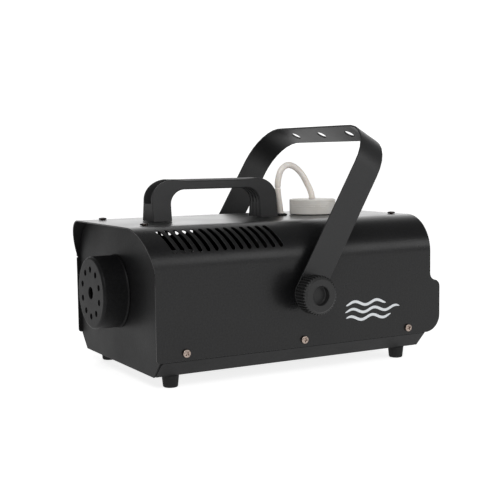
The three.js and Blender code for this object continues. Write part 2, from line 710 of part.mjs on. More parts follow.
function makeGrommet() {
  const lip = 2; // height of each rim
  const top = TOP_Z + GAP;
  const low = TOP_Z - SHEET - GAP;
  const bore = HOSE_CLEAR_R;
  const profile = [
    [bore, low - lip],
    [GROMMET_RIM_R, low - lip],
    [GROMMET_RIM_R, low],
    [GROMMET_R, low],
    [GROMMET_R, top],
    [GROMMET_RIM_R, top],
    [GROMMET_RIM_R, top + 1.2],
    [GROMMET_RIM_R - 0.8, top + 1.9],
    [bore + 1, top + 2.1],
    [bore, top + 1.6],
    [bore, low - lip],
  ];
  return turned(profile, 'z', FACETS_MEDIUM).translate(0, GROMMET_Y, 0);
}

// ---------------------------------------------------------------- carry handle

function makeHandle() {
  const y0 = HANDLE_FRONT;
  const y1 = HANDLE_FRONT + HANDLE_LEN;
  const z0 = TOP_Z + GAP;
  const z1 = TOP_Z + HANDLE_H;
  const ro = HANDLE_OUTER_R;
  const reach = HANDLE_OUTER_REACH;
  const ri = HANDLE_INNER_R;
  const a0 = y0 + HANDLE_LEG;
  const a1 = y1 - HANDLE_LEG;
  const under = z1 - HANDLE_BAR;
  const foot = HANDLE_FOOT_HALF_W;
  const w = HANDLE_HALF_W;
  const shape = new THREE.Shape();
  shape.moveTo(y0, z0);
  shape.lineTo(a0, z0);
  shape.lineTo(a0, under - ri);
  shape.absarc(a0 + ri, under - ri, ri, Math.PI, Math.PI / 2, true);
  shape.lineTo(a1 - ri, under);
  shape.absarc(a1 - ri, under - ri, ri, Math.PI / 2, 0, true);
  shape.lineTo(a1, z0);
  shape.lineTo(y1, z0);
  shape.lineTo(y1, z1 - ro);
  shape.absellipse(y1 - reach, z1 - ro, reach, ro, 0, Math.PI / 2, false);
  shape.lineTo(y0 + reach, z1);
  shape.absellipse(y0 + reach, z1 - ro, reach, ro, Math.PI / 2, Math.PI, false);
  shape.closePath();
  const across = outline([[-foot, z0], [foot, z0], [w, z0 + HANDLE_FLARE], [w, z1 + 1], [-w, z1 + 1],
    [-w, z0 + HANDLE_FLARE]]);
  const body = solid(plateYZ(shape, -foot, foot, 6)).intersect(solid(plateXZ(across, y0 - 1, y1 + 1)));
  // a deep pocket is let into each outer shoulder, between the two side walls
  const d = POCKET_DEPTH;
  const clear = 5;
  const sill = z0 + POCKET_FROM;
  const core = new THREE.Shape();
  core.moveTo(y0 + d, sill);
  core.lineTo(y1 - d, sill);
  core.lineTo(y1 - d, z1 - ro);
  core.absellipse(y1 - reach, z1 - ro, reach - d, ro - d, 0, Math.PI / 2, false);
  core.lineTo(y0 + reach, z1 - d);
  core.absellipse(y0 + reach, z1 - ro, reach - d, ro - d, Math.PI / 2, Math.PI, false);
  core.closePath();
  const p = POCKET_HALF_W;
  const blank = box(-p, p, y0 - clear, y1 + clear, sill + 0.01, z1 + clear);
  const keepTop = box(-p - 1, p + 1, y0 + reach, y1 - reach, z1 - d - 1, z1 + 2 * clear);
  const pockets = solid(blank).subtract(solid(plateYZ(core, -foot, foot, 6))).subtract(solid(keepTop));
  return body.subtract(pockets);
}

// ---------------------------------------------------------------- yoke, knobs, pivots

// Strap outline in its own plane: x across, y up from the pivot axis.
function makeYoke() {
  const w = YOKE_HALF_W;
  const wt = YOKE_TOP_HALF_W;
  const t = YOKE_T;
  const top = YOKE_REACH;
  const r = YOKE_BEND_R;
  const low = -YOKE_STRAP / 2;
  const shape = new THREE.Shape();
  shape.moveTo(w - t, low);
  shape.lineTo(w, low);
  shape.lineTo(w, -low);
  shape.lineTo(wt, top - r);
  shape.absarc(wt - r, top - r, r, 0, Math.PI / 2, false);
  shape.lineTo(-wt + r, top);
  shape.absarc(-wt + r, top - r, r, Math.PI / 2, Math.PI, false);
  shape.lineTo(-w, -low);
  shape.lineTo(-w, low);
  shape.lineTo(-w + t, low);
  shape.lineTo(-w + t, -low);
  shape.lineTo(-wt + t, top - r);
  shape.absarc(-wt + r, top - r, r - t, Math.PI, Math.PI / 2, true);
  shape.lineTo(wt - r, top - t);
  shape.absarc(wt - r, top - r, r - t, Math.PI / 2, 0, true);
  shape.lineTo(w - t, -low);
  shape.closePath();
  const strap = solid(plateXZ(shape, -YOKE_STRAP / 2, YOKE_STRAP / 2, 8));
  // the legs end in half circles about the pivot
  const keep = new THREE.Shape();
  keep.absarc(0, 0, YOKE_STRAP / 2, Math.PI, 2 * Math.PI, false);
  keep.lineTo(YOKE_STRAP / 2, top + FAR);
  keep.lineTo(-YOKE_STRAP / 2, top + FAR);
  keep.closePath();
  const cutters = [rod('x', -w - FAR, w + FAR, 0, 0, STUD_R + GAP, FACETS_SMALL)];
  for (const number of [-1, 0, 1]) {
    cutters.push(rod('z', top - FAR, top + FAR, number * YOKE_HOLE_SPACING, 0, YOKE_HOLE_R, 14));
  }
  const ended = strap.intersect(solid(plateYZ(keep, -w - FAR, w + FAR, 10)));
  return geometryOf(subtractAll(ended, cutters));
}

// Knurled disc on a hub: the rim is a star outline, its front edge is bevelled.
function makeKnob() {
  const wellFloor = KNOB_FACE - KNOB_WELL;
  const bore = STUD_R + GAP;
  const hubBack = YOKE_HALF_W + WASHER_T + 2 * GAP;
  const bevelStart = KNOB_FACE - KNOB_BEVEL;
  const rim = new THREE.Shape();
  for (let i = 0; i < 2 * KNOB_TEETH; i += 1) {
    const radius = i % 2 ? KNOB_R - KNOB_TOOTH : KNOB_R;
    const angle = (i * Math.PI) / KNOB_TEETH;
    const point = [radius * Math.cos(angle), radius * Math.sin(angle)];
    if (i === 0) {
      rim.moveTo(...point);
    } else {
      rim.lineTo(...point);
    }
  }
  rim.closePath();
  const body = [
    [bore, hubBack],
    [KNOB_HUB_R, hubBack],
    [KNOB_HUB_R, KNOB_BACK + 1],
    [KNOB_R - KNOB_TOOTH, bevelStart - 0.5],
    [KNOB_FACE_R, KNOB_FACE],
    [KNOB_WELL_R, KNOB_FACE],
    [KNOB_WELL_R - 0.5, wellFloor],
    [0, wellFloor],
    [0, KNOB_BORE_END],
    [bore, KNOB_BORE_END],
    [bore, hubBack],
  ];
  const hollow = rod('x', KNOB_BACK - 1, KNOB_FACE, 0, 0, KNOB_HUB_R - 1, FACETS_MEDIUM);
  const knurl = solid(plateYZ(rim, KNOB_BACK, bevelStart)).subtract(solid(hollow));
  return knurl.add(solid(turned(body, 'x', 24)));
}

function ringX(x0, x1, inner, outer, sides = 16) {
  return turned([[inner, x0], [outer, x0], [outer, x1], [inner, x1], [inner, x0]], 'x', sides);
}

function addPivot(side, name) {
  const place = (shape) => {
    const mesh = add(shape.name, shape.geometry, shape.material);
    mesh.position.set(0, PIVOT_Y, PIVOT_Z);
    mesh.rotation.z = side > 0 ? 0 : Math.PI;
  };
  const nutIn = HALF_W - SHEET - NUT_LEN;
  place({ name: `clamp_knob_${name}`, geometry: geometryOf(makeKnob()), material: plastic() });
  place({
    name: `knob_stud_${name}`,
    geometry: rod('x', nutIn + 1, KNOB_BORE_END - GAP, 0, 0, STUD_R, 16),
    material: steel(),
  });
  place({
    name: `yoke_spacer_${name}`,
    geometry: ringX(HALF_W + GAP, YOKE_HALF_W - YOKE_T - GAP, STUD_R + GAP, SPACER_R),
    material: rubber(),
  });
  place({
    name: `knob_washer_${name}`,
    geometry: ringX(YOKE_HALF_W + GAP, YOKE_HALF_W + GAP + WASHER_T, STUD_R + GAP, WASHER_R),
    material: steel(),
  });
  const hexagon = 6;
  const nut = solid(rod('x', nutIn, HALF_W - SHEET - GAP, 0, 0, NUT_R, hexagon));
  const thread = rod('x', nutIn - 1, HALF_W, 0, 0, STUD_R + GAP, FACETS_SMALL);
  place({
    name: `pivot_nut_${name}`,
    geometry: geometryOf(nut.subtract(solid(thread))),
    material: steel(),
  });
}

// ---------------------------------------------------------------- feet and screws

function makeFoot() {
  const profile = [[0, 0], [FOOT_R - 1.5, 0], [FOOT_R - 0.8, 1], [FOOT_R, FOOT_H - GAP], [0, FOOT_H - GAP]];
  return turned(profile, 'z', 16);
}

// Pan-head screw with a cross recess, head on +Z, seat at z = 0.
function makeScrew() {
  const { length, width, depth } = SCREW_CROSS;
  const l = length / 2;
  const w = width / 2;
  const profile = [
    [0, -SCREW_LEN],
    [SCREW_R, -SCREW_LEN],
    [SCREW_R, 0],
    [SCREW_HEAD_R, 0],
    [SCREW_HEAD_R, 0.8],
    [SCREW_HEAD_R * 0.6, SCREW_HEAD],
    [0, SCREW_HEAD],
  ];
  const body = solid(turned(profile, 'z', 10));
  const along = box(-l, l, -w, w, SCREW_HEAD - depth, SCREW_HEAD + 1);
  const cross = box(-w, w, -l, l, SCREW_HEAD - depth, SCREW_HEAD + 1);
  return subtractAll(body, [along, cross]);
}

function addScrews() {
  SIDE_SCREW_Y.forEach((y, number) => {
    for (const [side, name] of [[1, 'right'], [-1, 'left']]) {
      const mesh = add(`side_screw_${name}_${number + 1}`, geometryOf(makeScrew()), bronze());
      mesh.rotation.y = (side * Math.PI) / 2;
      mesh.position.set(side * (HALF_W + GAP), y, SIDE_SCREW_Z);
    }
  });
  for (const [name, [x, y]] of Object.entries(TOP_SCREWS)) {
    const mesh = add(`top_screw_${name}`, geometryOf(makeScrew()), plastic(0x1c1c1d));
    mesh.position.set(x, y, TOP_Z + GAP);
  }
}

// ---------------------------------------------------------------- electrics

const BOARD = { x0: -78, x1: -22, y0: -40, y1: 34, z: FLOOR + 9, t: 1.6, inset: 4, standoffR: 3 };
const TRANSFORMER = { x0: -72, x1: -44, y0: -30, y1: -2, height: 26 };
const TERMINALS = { x0: -76, x1: -28, y0: 14, y1: 26, height: 14 };

function addElectrics() {
  const { x0, x1, y0, y1, z, t, inset, standoffR } = BOARD;
  const top = z + t + GAP;
  const onBoard = (piece) => box(piece.x0, piece.x1, piece.y0, piece.y1, top, top + piece.height);
  add('control_board', box(x0, x1, y0, y1, z, z + t), board());
  add('board_transformer', onBoard(TRANSFORMER), plastic(0x3a3a30));
  add('terminal_block', onBoard(TERMINALS), plastic(0x2d6a45));
  const standoff = (x, y) => rod('z', FLOOR + GAP, z - GAP, x, y, standoffR, 8);
  add('standoff_front_left', standoff(x0 + inset, y0 + inset), brass());
  add('standoff_front_right', standoff(x1 - inset, y0 + inset), brass());
  add('standoff_rear_left', standoff(x0 + inset, y1 - inset), brass());
  add('standoff_rear_right', standoff(x1 - inset, y1 - inset), brass());
}

const FITTING_FACE = PANEL_REAR + GAP; // back of every flange on the rear panel
const FLANGE = 2; // thickness of those flanges

// A block about a fitting's centre, grown by the given amounts, from y0 to y1.
function blockAt({ x, z, w, h }, growX, growZ, y0, y1) {
  return box(x - w / 2 - growX, x + w / 2 + growX, y0, y1, z - h / 2 - growZ, z + h / 2 + growZ);
}

function makeInlet() {
  const ears = 9;
  const border = 3;
  const wall = 2;
  const depth = 18;
  const y = FITTING_FACE;
  const body = solid(blockAt(INLET, 0, 0, y - depth, y + 1))
    .add(solid(blockAt(INLET, ears, border, y, y + FLANGE)));
  return body.subtract(solid(blockAt(INLET, -wall, -wall, y - depth + 2 * wall, y + CUT)));
}

function makeSwitchFrame() {
  const border = 2;
  const wall = 1;
  const depth = 14;
  const y = FITTING_FACE;
  const body = solid(blockAt(SWITCH, 0, 0, y - depth, y + 1))
    .add(solid(blockAt(SWITCH, border, border, y, y + FLANGE)));
  return body.subtract(solid(blockAt(SWITCH, -wall, -wall, y - depth + 4 * wall, y + CUT)));
}

const ROCKER_PIVOT_Y = PANEL_REAR - 2;
const ROCKER_TILT = THREE.MathUtils.degToRad(8); // off: the lower end stands out
const ROCKER = { back: -3, crown: 3.9, end: 5, shoulder: 2.6, halfH: 4.4, halfBack: 4, side: 1.6 };

function makeRocker() {
  const { back, crown, end, shoulder, halfH, halfBack, side } = ROCKER;
  const w = SWITCH.w / 2 - side;
  const shape = outline([[back, -halfBack], [shoulder, -halfH], [end, -halfH], [crown, 0], [end, halfH],
    [shoulder, halfH], [back, halfBack]]);
  return plateYZ(shape, -w, w, 2);
}

const FUSE_BORE_R = 4.6;
const FUSE_CAP = { shankR: 4.2, headR: 5.6, topR: 4.9, shank: 16, head: 6 };
const FUSE_CAP_SLOT = { length: 9, width: 1.2, depth: 1.4 };

function makeFuseHolder() {
  const { x, z, r } = FUSE;
  const y = FITTING_FACE;
  const depth = 22;
  const profile = [
    [FUSE_BORE_R, y - depth],
    [r, y - depth],
    [r, y],
    [r + 2, y],
    [r + 2, y + FLANGE],
    [FUSE_BORE_R, y + FLANGE],
    [FUSE_BORE_R, y - depth],
  ];
  return turned(profile, 'y', FACETS_MEDIUM).translate(x, 0, z);
}

function makeFuseCap() {
  const { shankR, headR, topR, shank, head } = FUSE_CAP;
  const { length, width, depth } = FUSE_CAP_SLOT;
  const { x, z } = FUSE;
  const y = FITTING_FACE + FLANGE + GAP;
  const profile = [
    [0, y - shank],
    [shankR, y - shank],
    [shankR, y],
    [headR, y],
    [headR, y + head - 1],
    [topR, y + head],
    [0, y + head],
  ];
  const cap = solid(turned(profile, 'y', FACETS_MEDIUM).translate(x, 0, z));
  const slot = blockAt({ x, z, w: length, h: width }, 0, 0, y + head - depth, y + head + 1);
  return subtractAll(cap, [slot]);
}

function makeRemoteSocket() {
  const { x, z, r } = REMOTE;
  const y = FITTING_FACE;
  const depth = 14;
  const wall = 1;
  const well = 6;
  const profile = [
    [0, y - depth],
    [r, y - depth],
    [r, y],
    [r + 3, y],
    [r + 3, y + FLANGE],
    [r - wall, y + FLANGE],
    [r - wall, y - well],
    [0, y - well],
  ];
  return turned(profile, 'y', FACETS_MEDIUM).translate(x, 0, z);
}

// ---------------------------------------------------------------- assembly

add('housing_cover', makeCover(), paint());
add('base_pan', makePan(), paint());
add('front_panel', makeFrontPanel(), paint());
add('rear_panel', makeRearPanel(), paint());
add('nozzle_cover', makeNozzleCover(), paint());
add('nozzle_tip', makeNozzleTip(), brass());
add('heater_block', makeHeater(), alloy());
add('heat_shield', makeHeatShield(), steel());
add('heater_bracket_front', makeHeaterBracket(HEATER_FRONT + 8), steel());
add('heater_bracket_rear', makeHeaterBracket(HEATER_REAR - 18), steel());
add('thermostat', makeThermostat(), alloy());
add('fluid_pump', makePump(), alloy());
add('pump_bracket', makePumpBracket(), steel());
add('fluid_pipe', tube(FLUID_PIPE_ROUTE, PIPE_R, 3, 20), brass());
add('fluid_tank', makeTank(), milky());
add('tank_cap', makeTankCap(), milky());
add('fluid_hose', tube(HOSE_ROUTE, HOSE_R, 4, 60), milky());
add('pickup_filter', rod('z', FILTER.low, FILTER.high - GAP, 0, CAP_Y, FILTER.r, FACETS_SMALL), brass());
add('hose_grommet', makeGrommet(), rubber());
add('carry_handle', makeHandle(), plastic());
const yoke = add('tilt_yoke', makeYoke(), paint());
yoke.position.set(0, PIVOT_Y, PIVOT_Z);
yoke.rotation.x = -YOKE_TILT;
addPivot(1, 'right');
addPivot(-1, 'left');
for (const [x, side] of [[-FOOT_X, 'left'], [FOOT_X, 'right']]) {
  for (const [y, end] of [[FOOT_Y[0], 'front'], [FOOT_Y[1], 'rear']]) {
    add(`foot_${end}_${side}`, makeFoot().translate(x, y, 0), rubber());
  }
}
addScrews();
addElectrics();
add('mains_inlet', makeInlet(), plastic(0x1a1a1b));
add('switch_frame', makeSwitchFrame(), plastic(0x1a1a1b));
const rocker = add('power_rocker', makeRocker(), plastic(0x8c1f1c));
rocker.position.set(SWITCH.x, ROCKER_PIVOT_Y, SWITCH.z);
rocker.rotation.x = ROCKER_TILT;
add('fuse_holder', makeFuseHolder(), plastic(0x1a1a1b));
add('fuse_cap', makeFuseCap(), plastic(0x1a1a1b));
add('remote_socket', makeRemoteSocket(), plastic(0x1a1a1b));

export default machine;
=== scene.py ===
"""Fog machine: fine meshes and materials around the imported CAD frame.

Lengths in this file are millimetres; make_piece() turns them into Blender's metres.
+Z is up, the nozzle blows towards -Y, and X runs across the machine.
"""

import json
import math

import bpy
from mathutils import Matrix, Vector
from mathutils.geometry import delaunay_2d_cdt

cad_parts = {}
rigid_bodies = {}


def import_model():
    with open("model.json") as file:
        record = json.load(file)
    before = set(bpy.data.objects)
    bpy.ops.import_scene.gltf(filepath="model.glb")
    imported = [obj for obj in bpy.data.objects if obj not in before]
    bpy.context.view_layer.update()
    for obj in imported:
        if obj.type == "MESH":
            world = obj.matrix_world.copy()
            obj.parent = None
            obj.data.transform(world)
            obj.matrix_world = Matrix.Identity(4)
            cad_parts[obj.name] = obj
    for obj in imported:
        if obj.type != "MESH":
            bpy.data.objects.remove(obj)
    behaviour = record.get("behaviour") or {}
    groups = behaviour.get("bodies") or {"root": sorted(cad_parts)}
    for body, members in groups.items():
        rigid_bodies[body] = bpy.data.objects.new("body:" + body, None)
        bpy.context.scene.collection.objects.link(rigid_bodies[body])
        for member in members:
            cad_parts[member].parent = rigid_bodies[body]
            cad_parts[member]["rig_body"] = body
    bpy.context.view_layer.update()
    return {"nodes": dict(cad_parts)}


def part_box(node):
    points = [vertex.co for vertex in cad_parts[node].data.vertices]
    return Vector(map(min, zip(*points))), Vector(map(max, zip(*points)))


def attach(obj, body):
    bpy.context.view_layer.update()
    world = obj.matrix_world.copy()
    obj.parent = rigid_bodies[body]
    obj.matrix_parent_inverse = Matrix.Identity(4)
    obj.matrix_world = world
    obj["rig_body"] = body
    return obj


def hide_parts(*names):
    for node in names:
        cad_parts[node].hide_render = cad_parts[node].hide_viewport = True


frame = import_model()

MM = 0.001
SIDES = {"right": 1, "left": -1}


def node_box(node):
    """Lowest and highest corner of a CAD node, in millimetres."""
    low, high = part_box(node)
    return low / MM, high / MM


# ---- driving dimensions

COVER_LOW, COVER_HIGH = node_box("housing_cover")
PAN_LOW, PAN_HIGH = node_box("base_pan")
FRONT_LOW, FRONT_HIGH = node_box("front_panel")
REAR_LOW, REAR_HIGH = node_box("rear_panel")
NOZZLE_LOW, NOZZLE_HIGH = node_box("nozzle_cover")
HANDLE_LOW, HANDLE_HIGH = node_box("carry_handle")
CAP_LOW, CAP_HIGH = node_box("tank_cap")
GROMMET_LOW, GROMMET_HIGH = node_box("hose_grommet")
STUD_LOW, STUD_HIGH = node_box("knob_stud_right")

SHEET = 1.2  # steel sheet thickness
EDGE = 0.28  # rounding on a cut sheet edge
HALF_W = COVER_HIGH.x
TOP_Z = COVER_HIGH.z
COVER_Z = COVER_LOW.z
CORNER_R = 37.0
HOOD = 11.5  # how far the cover's top reaches past its side edges
HOOD_POWER = 1.4  # how the hood's edge runs down the corner
COVER_FRONT = COVER_LOW.y + HOOD
GUARD_REAR = COVER_HIGH.y
COVER_REAR = REAR_HIGH.y + 5.4
GUARD_TOP = 88.0  # height where the guard's S-curve starts
GUARD_CURVE_H = 14.3  # height of the S-curve from the cover's rear edge out to the guard
GUARD_CORNER_R = 17.5
FRONT_CORNER_R = 3.0

SLOT_COUNT = 14
SLOT_PITCH = 8.48
SLOT_FIRST_Y = COVER_FRONT + 21.8
SLOT_LEAN = 10.2  # how far the upper end lies towards the nozzle
SLOT_W = 4.2
SLOT_LOW = math.radians(67)  # the ends' places on the corner, from vertical
SLOT_HIGH = math.radians(24)

PIVOT_Y = (STUD_LOW.y + STUD_HIGH.y) / 2
PIVOT_Z = (STUD_LOW.z + STUD_HIGH.z) / 2
YOKE_HALF_W = node_box("tilt_yoke")[1].x
YOKE_TILT = math.radians(30.3)
YOKE_T = 1.8
YOKE_STRAP = 29.6
YOKE_OFFSET = 0.5  # the strap's middle line lies this far in front of the pivot
YOKE_REACH = 175.6
YOKE_BEND_R = 41.5
YOKE_LEAN_R = 99.6  # the slight bend above each pivot
YOKE_TOP_HALF_W = 108.6  # the legs lean in a little towards the crosspiece
YOKE_HOLE_SPACING = 51.0
YOKE_HOLE_R = 5.45

NOZZLE_Z = (NOZZLE_LOW.z + NOZZLE_HIGH.z) / 2
NOZZLE_R = 34.8
CAP_Y = (CAP_LOW.y + CAP_HIGH.y) / 2
CAP_R = (CAP_HIGH.y - CAP_LOW.y) / 2
GROMMET_Y = (GROMMET_LOW.y + GROMMET_HIGH.y) / 2
HOSE_R = 3.25

SCREW_HOLE_R = 2.3
PIVOT_HOLE_R = 4.3
GROMMET_HOLE_R = 5.3
TANK_HOLE_R = 21.0


# ---- making pieces

def link(thing):
    bpy.context.scene.collection.objects.link(thing)
    return thing


def make_piece(name, shape, cad_node, material, replaces=True):
    """Turns (vertices, faces, normals) in millimetres into a piece on its CAD node's body."""
    vertices, faces, normals = shape
    mesh = bpy.data.meshes.new(name)
    mesh.from_pydata([Vector(v) * MM for v in vertices], [], faces)
    mesh.validate()
    mesh.polygons.foreach_set("use_smooth", [True] * len(mesh.polygons))
    mesh.materials.append(material)
    piece = link(bpy.data.objects.new(name, mesh))
    if normals is None:
        sharpen(piece)
    else:
        mesh.normals_split_custom_set_from_vertices(normals)
    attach(piece, frame["nodes"][cad_node]["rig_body"])
    if replaces:
        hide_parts(cad_node)


def sharpen(piece, angle=math.radians(32)):
    """Marks the real edges sharp and lets large flat faces set the shading."""
    piece.data.set_sharp_from_angle(angle=angle)
    modifier = piece.modifiers.new("weighted", "WEIGHTED_NORMAL")
    modifier.keep_sharp = True
    modifier.weight = 100
    with bpy.context.temp_override(object=piece, active_object=piece, selected_objects=[piece]):
        bpy.ops.object.modifier_apply(modifier=modifier.name)


def moved(shape, matrix):
    vertices, faces, normals = shape
    turn = matrix.to_3x3()
    new_normals = None if normals is None else [(turn @ Vector(n)).normalized() for n in normals]
    return [matrix @ Vector(v) for v in vertices], faces, new_normals


def joined(*shapes):
    """Several closed shapes as one mesh."""
    vertices, faces, normals = [], [], []
    smooth = all(shape[2] is not None for shape in shapes)
    for shape_vertices, shape_faces, shape_normals in shapes:
        start = len(vertices)
        vertices.extend(shape_vertices)
        faces.extend([tuple(start + i for i in face) for face in shape_faces])
        if smooth:
            normals.extend(shape_normals)
    return vertices, faces, normals if smooth else None


# ---- outlines

def arc(cx, cy, r, start, end, step=6.0):
    """Points on an arc; angles in degrees, both ends included."""
    count = max(1, math.ceil(abs(end - start) / step))
    points = []
    for i in range(count + 1):
        angle = math.radians(start + (end - start) * i / count)
        points.append((cx + r * math.cos(angle), cy + r * math.sin(angle)))
    return points


def circle(cx, cy, r, count=24):
    return [(cx + r * math.cos(2 * math.pi * i / count), cy + r * math.sin(2 * math.pi * i / count))
            for i in range(count)]


def fillet(before, corner, after):
    """Start, end and centre of the arc that rounds the corner (x, y, r) to radius r."""
    here, r = Vector(corner[:2]), corner[2]
    before = (Vector(before[:2]) - here).normalized()
    after = (Vector(after[:2]) - here).normalized()
    turn = before.angle(after)
    reach = r / math.tan(turn / 2)
    centre = here + (before + after).normalized() * (r / math.sin(turn / 2))
    return here + before * reach, here + after * reach, centre


def rounded(corners, step=7.5):
    """A closed outline whose corners (x, y, r) are rounded to radius r."""
    points = []
    ends = corners[-1:] + corners + corners[:1]
    for before, corner, after in zip(ends, corners, ends[2:]):
        if corner[2] <= 0:
            points.append(corner[:2])
            continue
        start, end, centre = fillet(before, corner, after)
        start, end = start - centre, end - centre
        sweep = start.angle_signed(end)
        steps = max(2, math.ceil(math.degrees(abs(sweep)) / step))
        for k in range(steps + 1):
            spoke = start.copy()
            spoke.rotate(Matrix.Rotation(-sweep * k / steps, 2))
            points.append(tuple(centre + spoke))
    return points


def symmetric(corners):
    """Corners (x, z, r) of one half, then their mirror images in reverse."""
    return corners + [(-x, z, r) for x, z, r in corners[::-1]]


def rect(x0, x1, y0, y1, r=0.0):
    return rounded([(x0, y0, r), (x1, y0, r), (x1, y1, r), (x0, y1, r)])


def spaced(points, longest):
    """The closed outline with no side longer than the given length."""
    result = []
    for here, there in zip(points, points[1:] + points[:1]):
        steps = max(1, math.ceil(math.dist(here, there) / longest))
        for k in range(steps):
            result.append((here[0] + (there[0] - here[0]) * k / steps,
                           here[1] + (there[1] - here[1]) * k / steps))
    return result


def area_of(points):
    return sum(a[0] * b[1] - b[0] * a[1] for a, b in zip(points, points[1:] + points[:1])) / 2


def oriented(points, anticlockwise):
    return points if (area_of(points) > 0) == anticlockwise else points[::-1]


def outward(points):
    """The unit vector at each point that leaves the material, which lies left of the outline."""
    result = []
    count = len(points)
    for i in range(count):
        before = (Vector(points[i]) - Vector(points[i - 1])).normalized()
        after = (Vector(points[(i + 1) % count]) - Vector(points[i])).normalized()
        mean = (before + after).normalized()
        result.append(Vector((mean.y, -mean.x)))
    return result


def strip(a, b):
    """Quads between two closed rings of vertex numbers."""
    pairs = list(zip(a, b))
    return [(*here, *there[::-1]) for here, there in zip(pairs, pairs[1:] + pairs[:1])]


# ---- folded sheet

class Fold:
    """A line across the sheet made of straight runs and round bends: corners are (x, z, r)."""

    def __init__(self, corners):
        self.runs = []
        here = Vector(corners[0][:2])
        for before, corner, after in zip(corners, corners[1:], corners[2:]):
            start, end, centre = fillet(before, corner, after)
            self._straight(here, start)
            spoke = start - centre
            sweep = -spoke.angle_signed(end - centre)
            self.runs.append(("bend", self.length, abs(sweep) * corner[2], centre, spoke, sweep))
            here = end
        self._straight(here, Vector(corners[-1][:2]))

    @property
    def length(self):
        return self.runs[-1][1] + self.runs[-1][2] if self.runs else 0.0

    def _straight(self, start, end):
        along = end - start
        self.runs.append(("straight", self.length, along.length, start, along.normalized(), 0.0))

    def at(self, s):
        """Place, outward normal (to the left of the line) and direction at distance s."""
        for kind, start, length, origin, vector, sweep in self.runs:
            if s <= start + length or start + length >= self.length - 1e-6:
                break
        if kind == "straight":
            return origin + vector * (s - start), Vector((-vector.y, vector.x)), vector
        spoke = vector.copy()
        spoke.rotate(Matrix.Rotation(sweep * (s - start) / length, 2))
        outer = spoke.normalized() * (-1 if sweep > 0 else 1)
        return origin + spoke, outer, Vector((outer.y, -outer.x))

    def bends(self):
        return [(run[1], run[1] + run[2]) for run in self.runs if run[0] == "bend"]


def folded(fold):
    """Maps (s, y) of the flat pattern to a point, its normal and both directions; s is 0 at mid-length."""
    middle = fold.length / 2

    def place(s, y):
        origin, normal, along = fold.at(middle + s)
        return (Vector((origin.x, y, origin.y)), Vector((normal.x, 0, normal.y)),
                Vector((along.x, 0, along.y)), Vector((0, 1, 0)))
    return place


def flat(origin, across, up):
    """Maps (u, v) of the flat pattern to a plane; the outer face looks along across x up."""
    origin, across, up = Vector(origin), Vector(across), Vector(up)
    normal = across.cross(up)

    def place(u, v):
        return origin + across * u + up * v, normal, across, up
    return place


def shoulder(r, steps):
    """A rounded outer corner: (offset outwards, depth, outward part, outer-face part)."""
    profile = []
    for i in range(steps + 1):
        angle = math.pi / 2 * i / steps
        profile.append((r * (math.sin(angle) - 1), r * (1 - math.cos(angle)),
                        math.sin(angle), math.cos(angle)))
    return profile


def edge_profile(thickness, front=EDGE, back=EDGE, steps=3):
    """Cross-section of an edge with both corners rounded, in the form that shoulder() gives."""
    profile = shoulder(front, steps)
    for i in range(steps + 1):
        angle = math.pi / 2 * i / steps
        profile.append((back * (math.cos(angle) - 1), thickness - back + back * math.sin(angle),
                        math.cos(angle), -math.sin(angle)))
    return profile


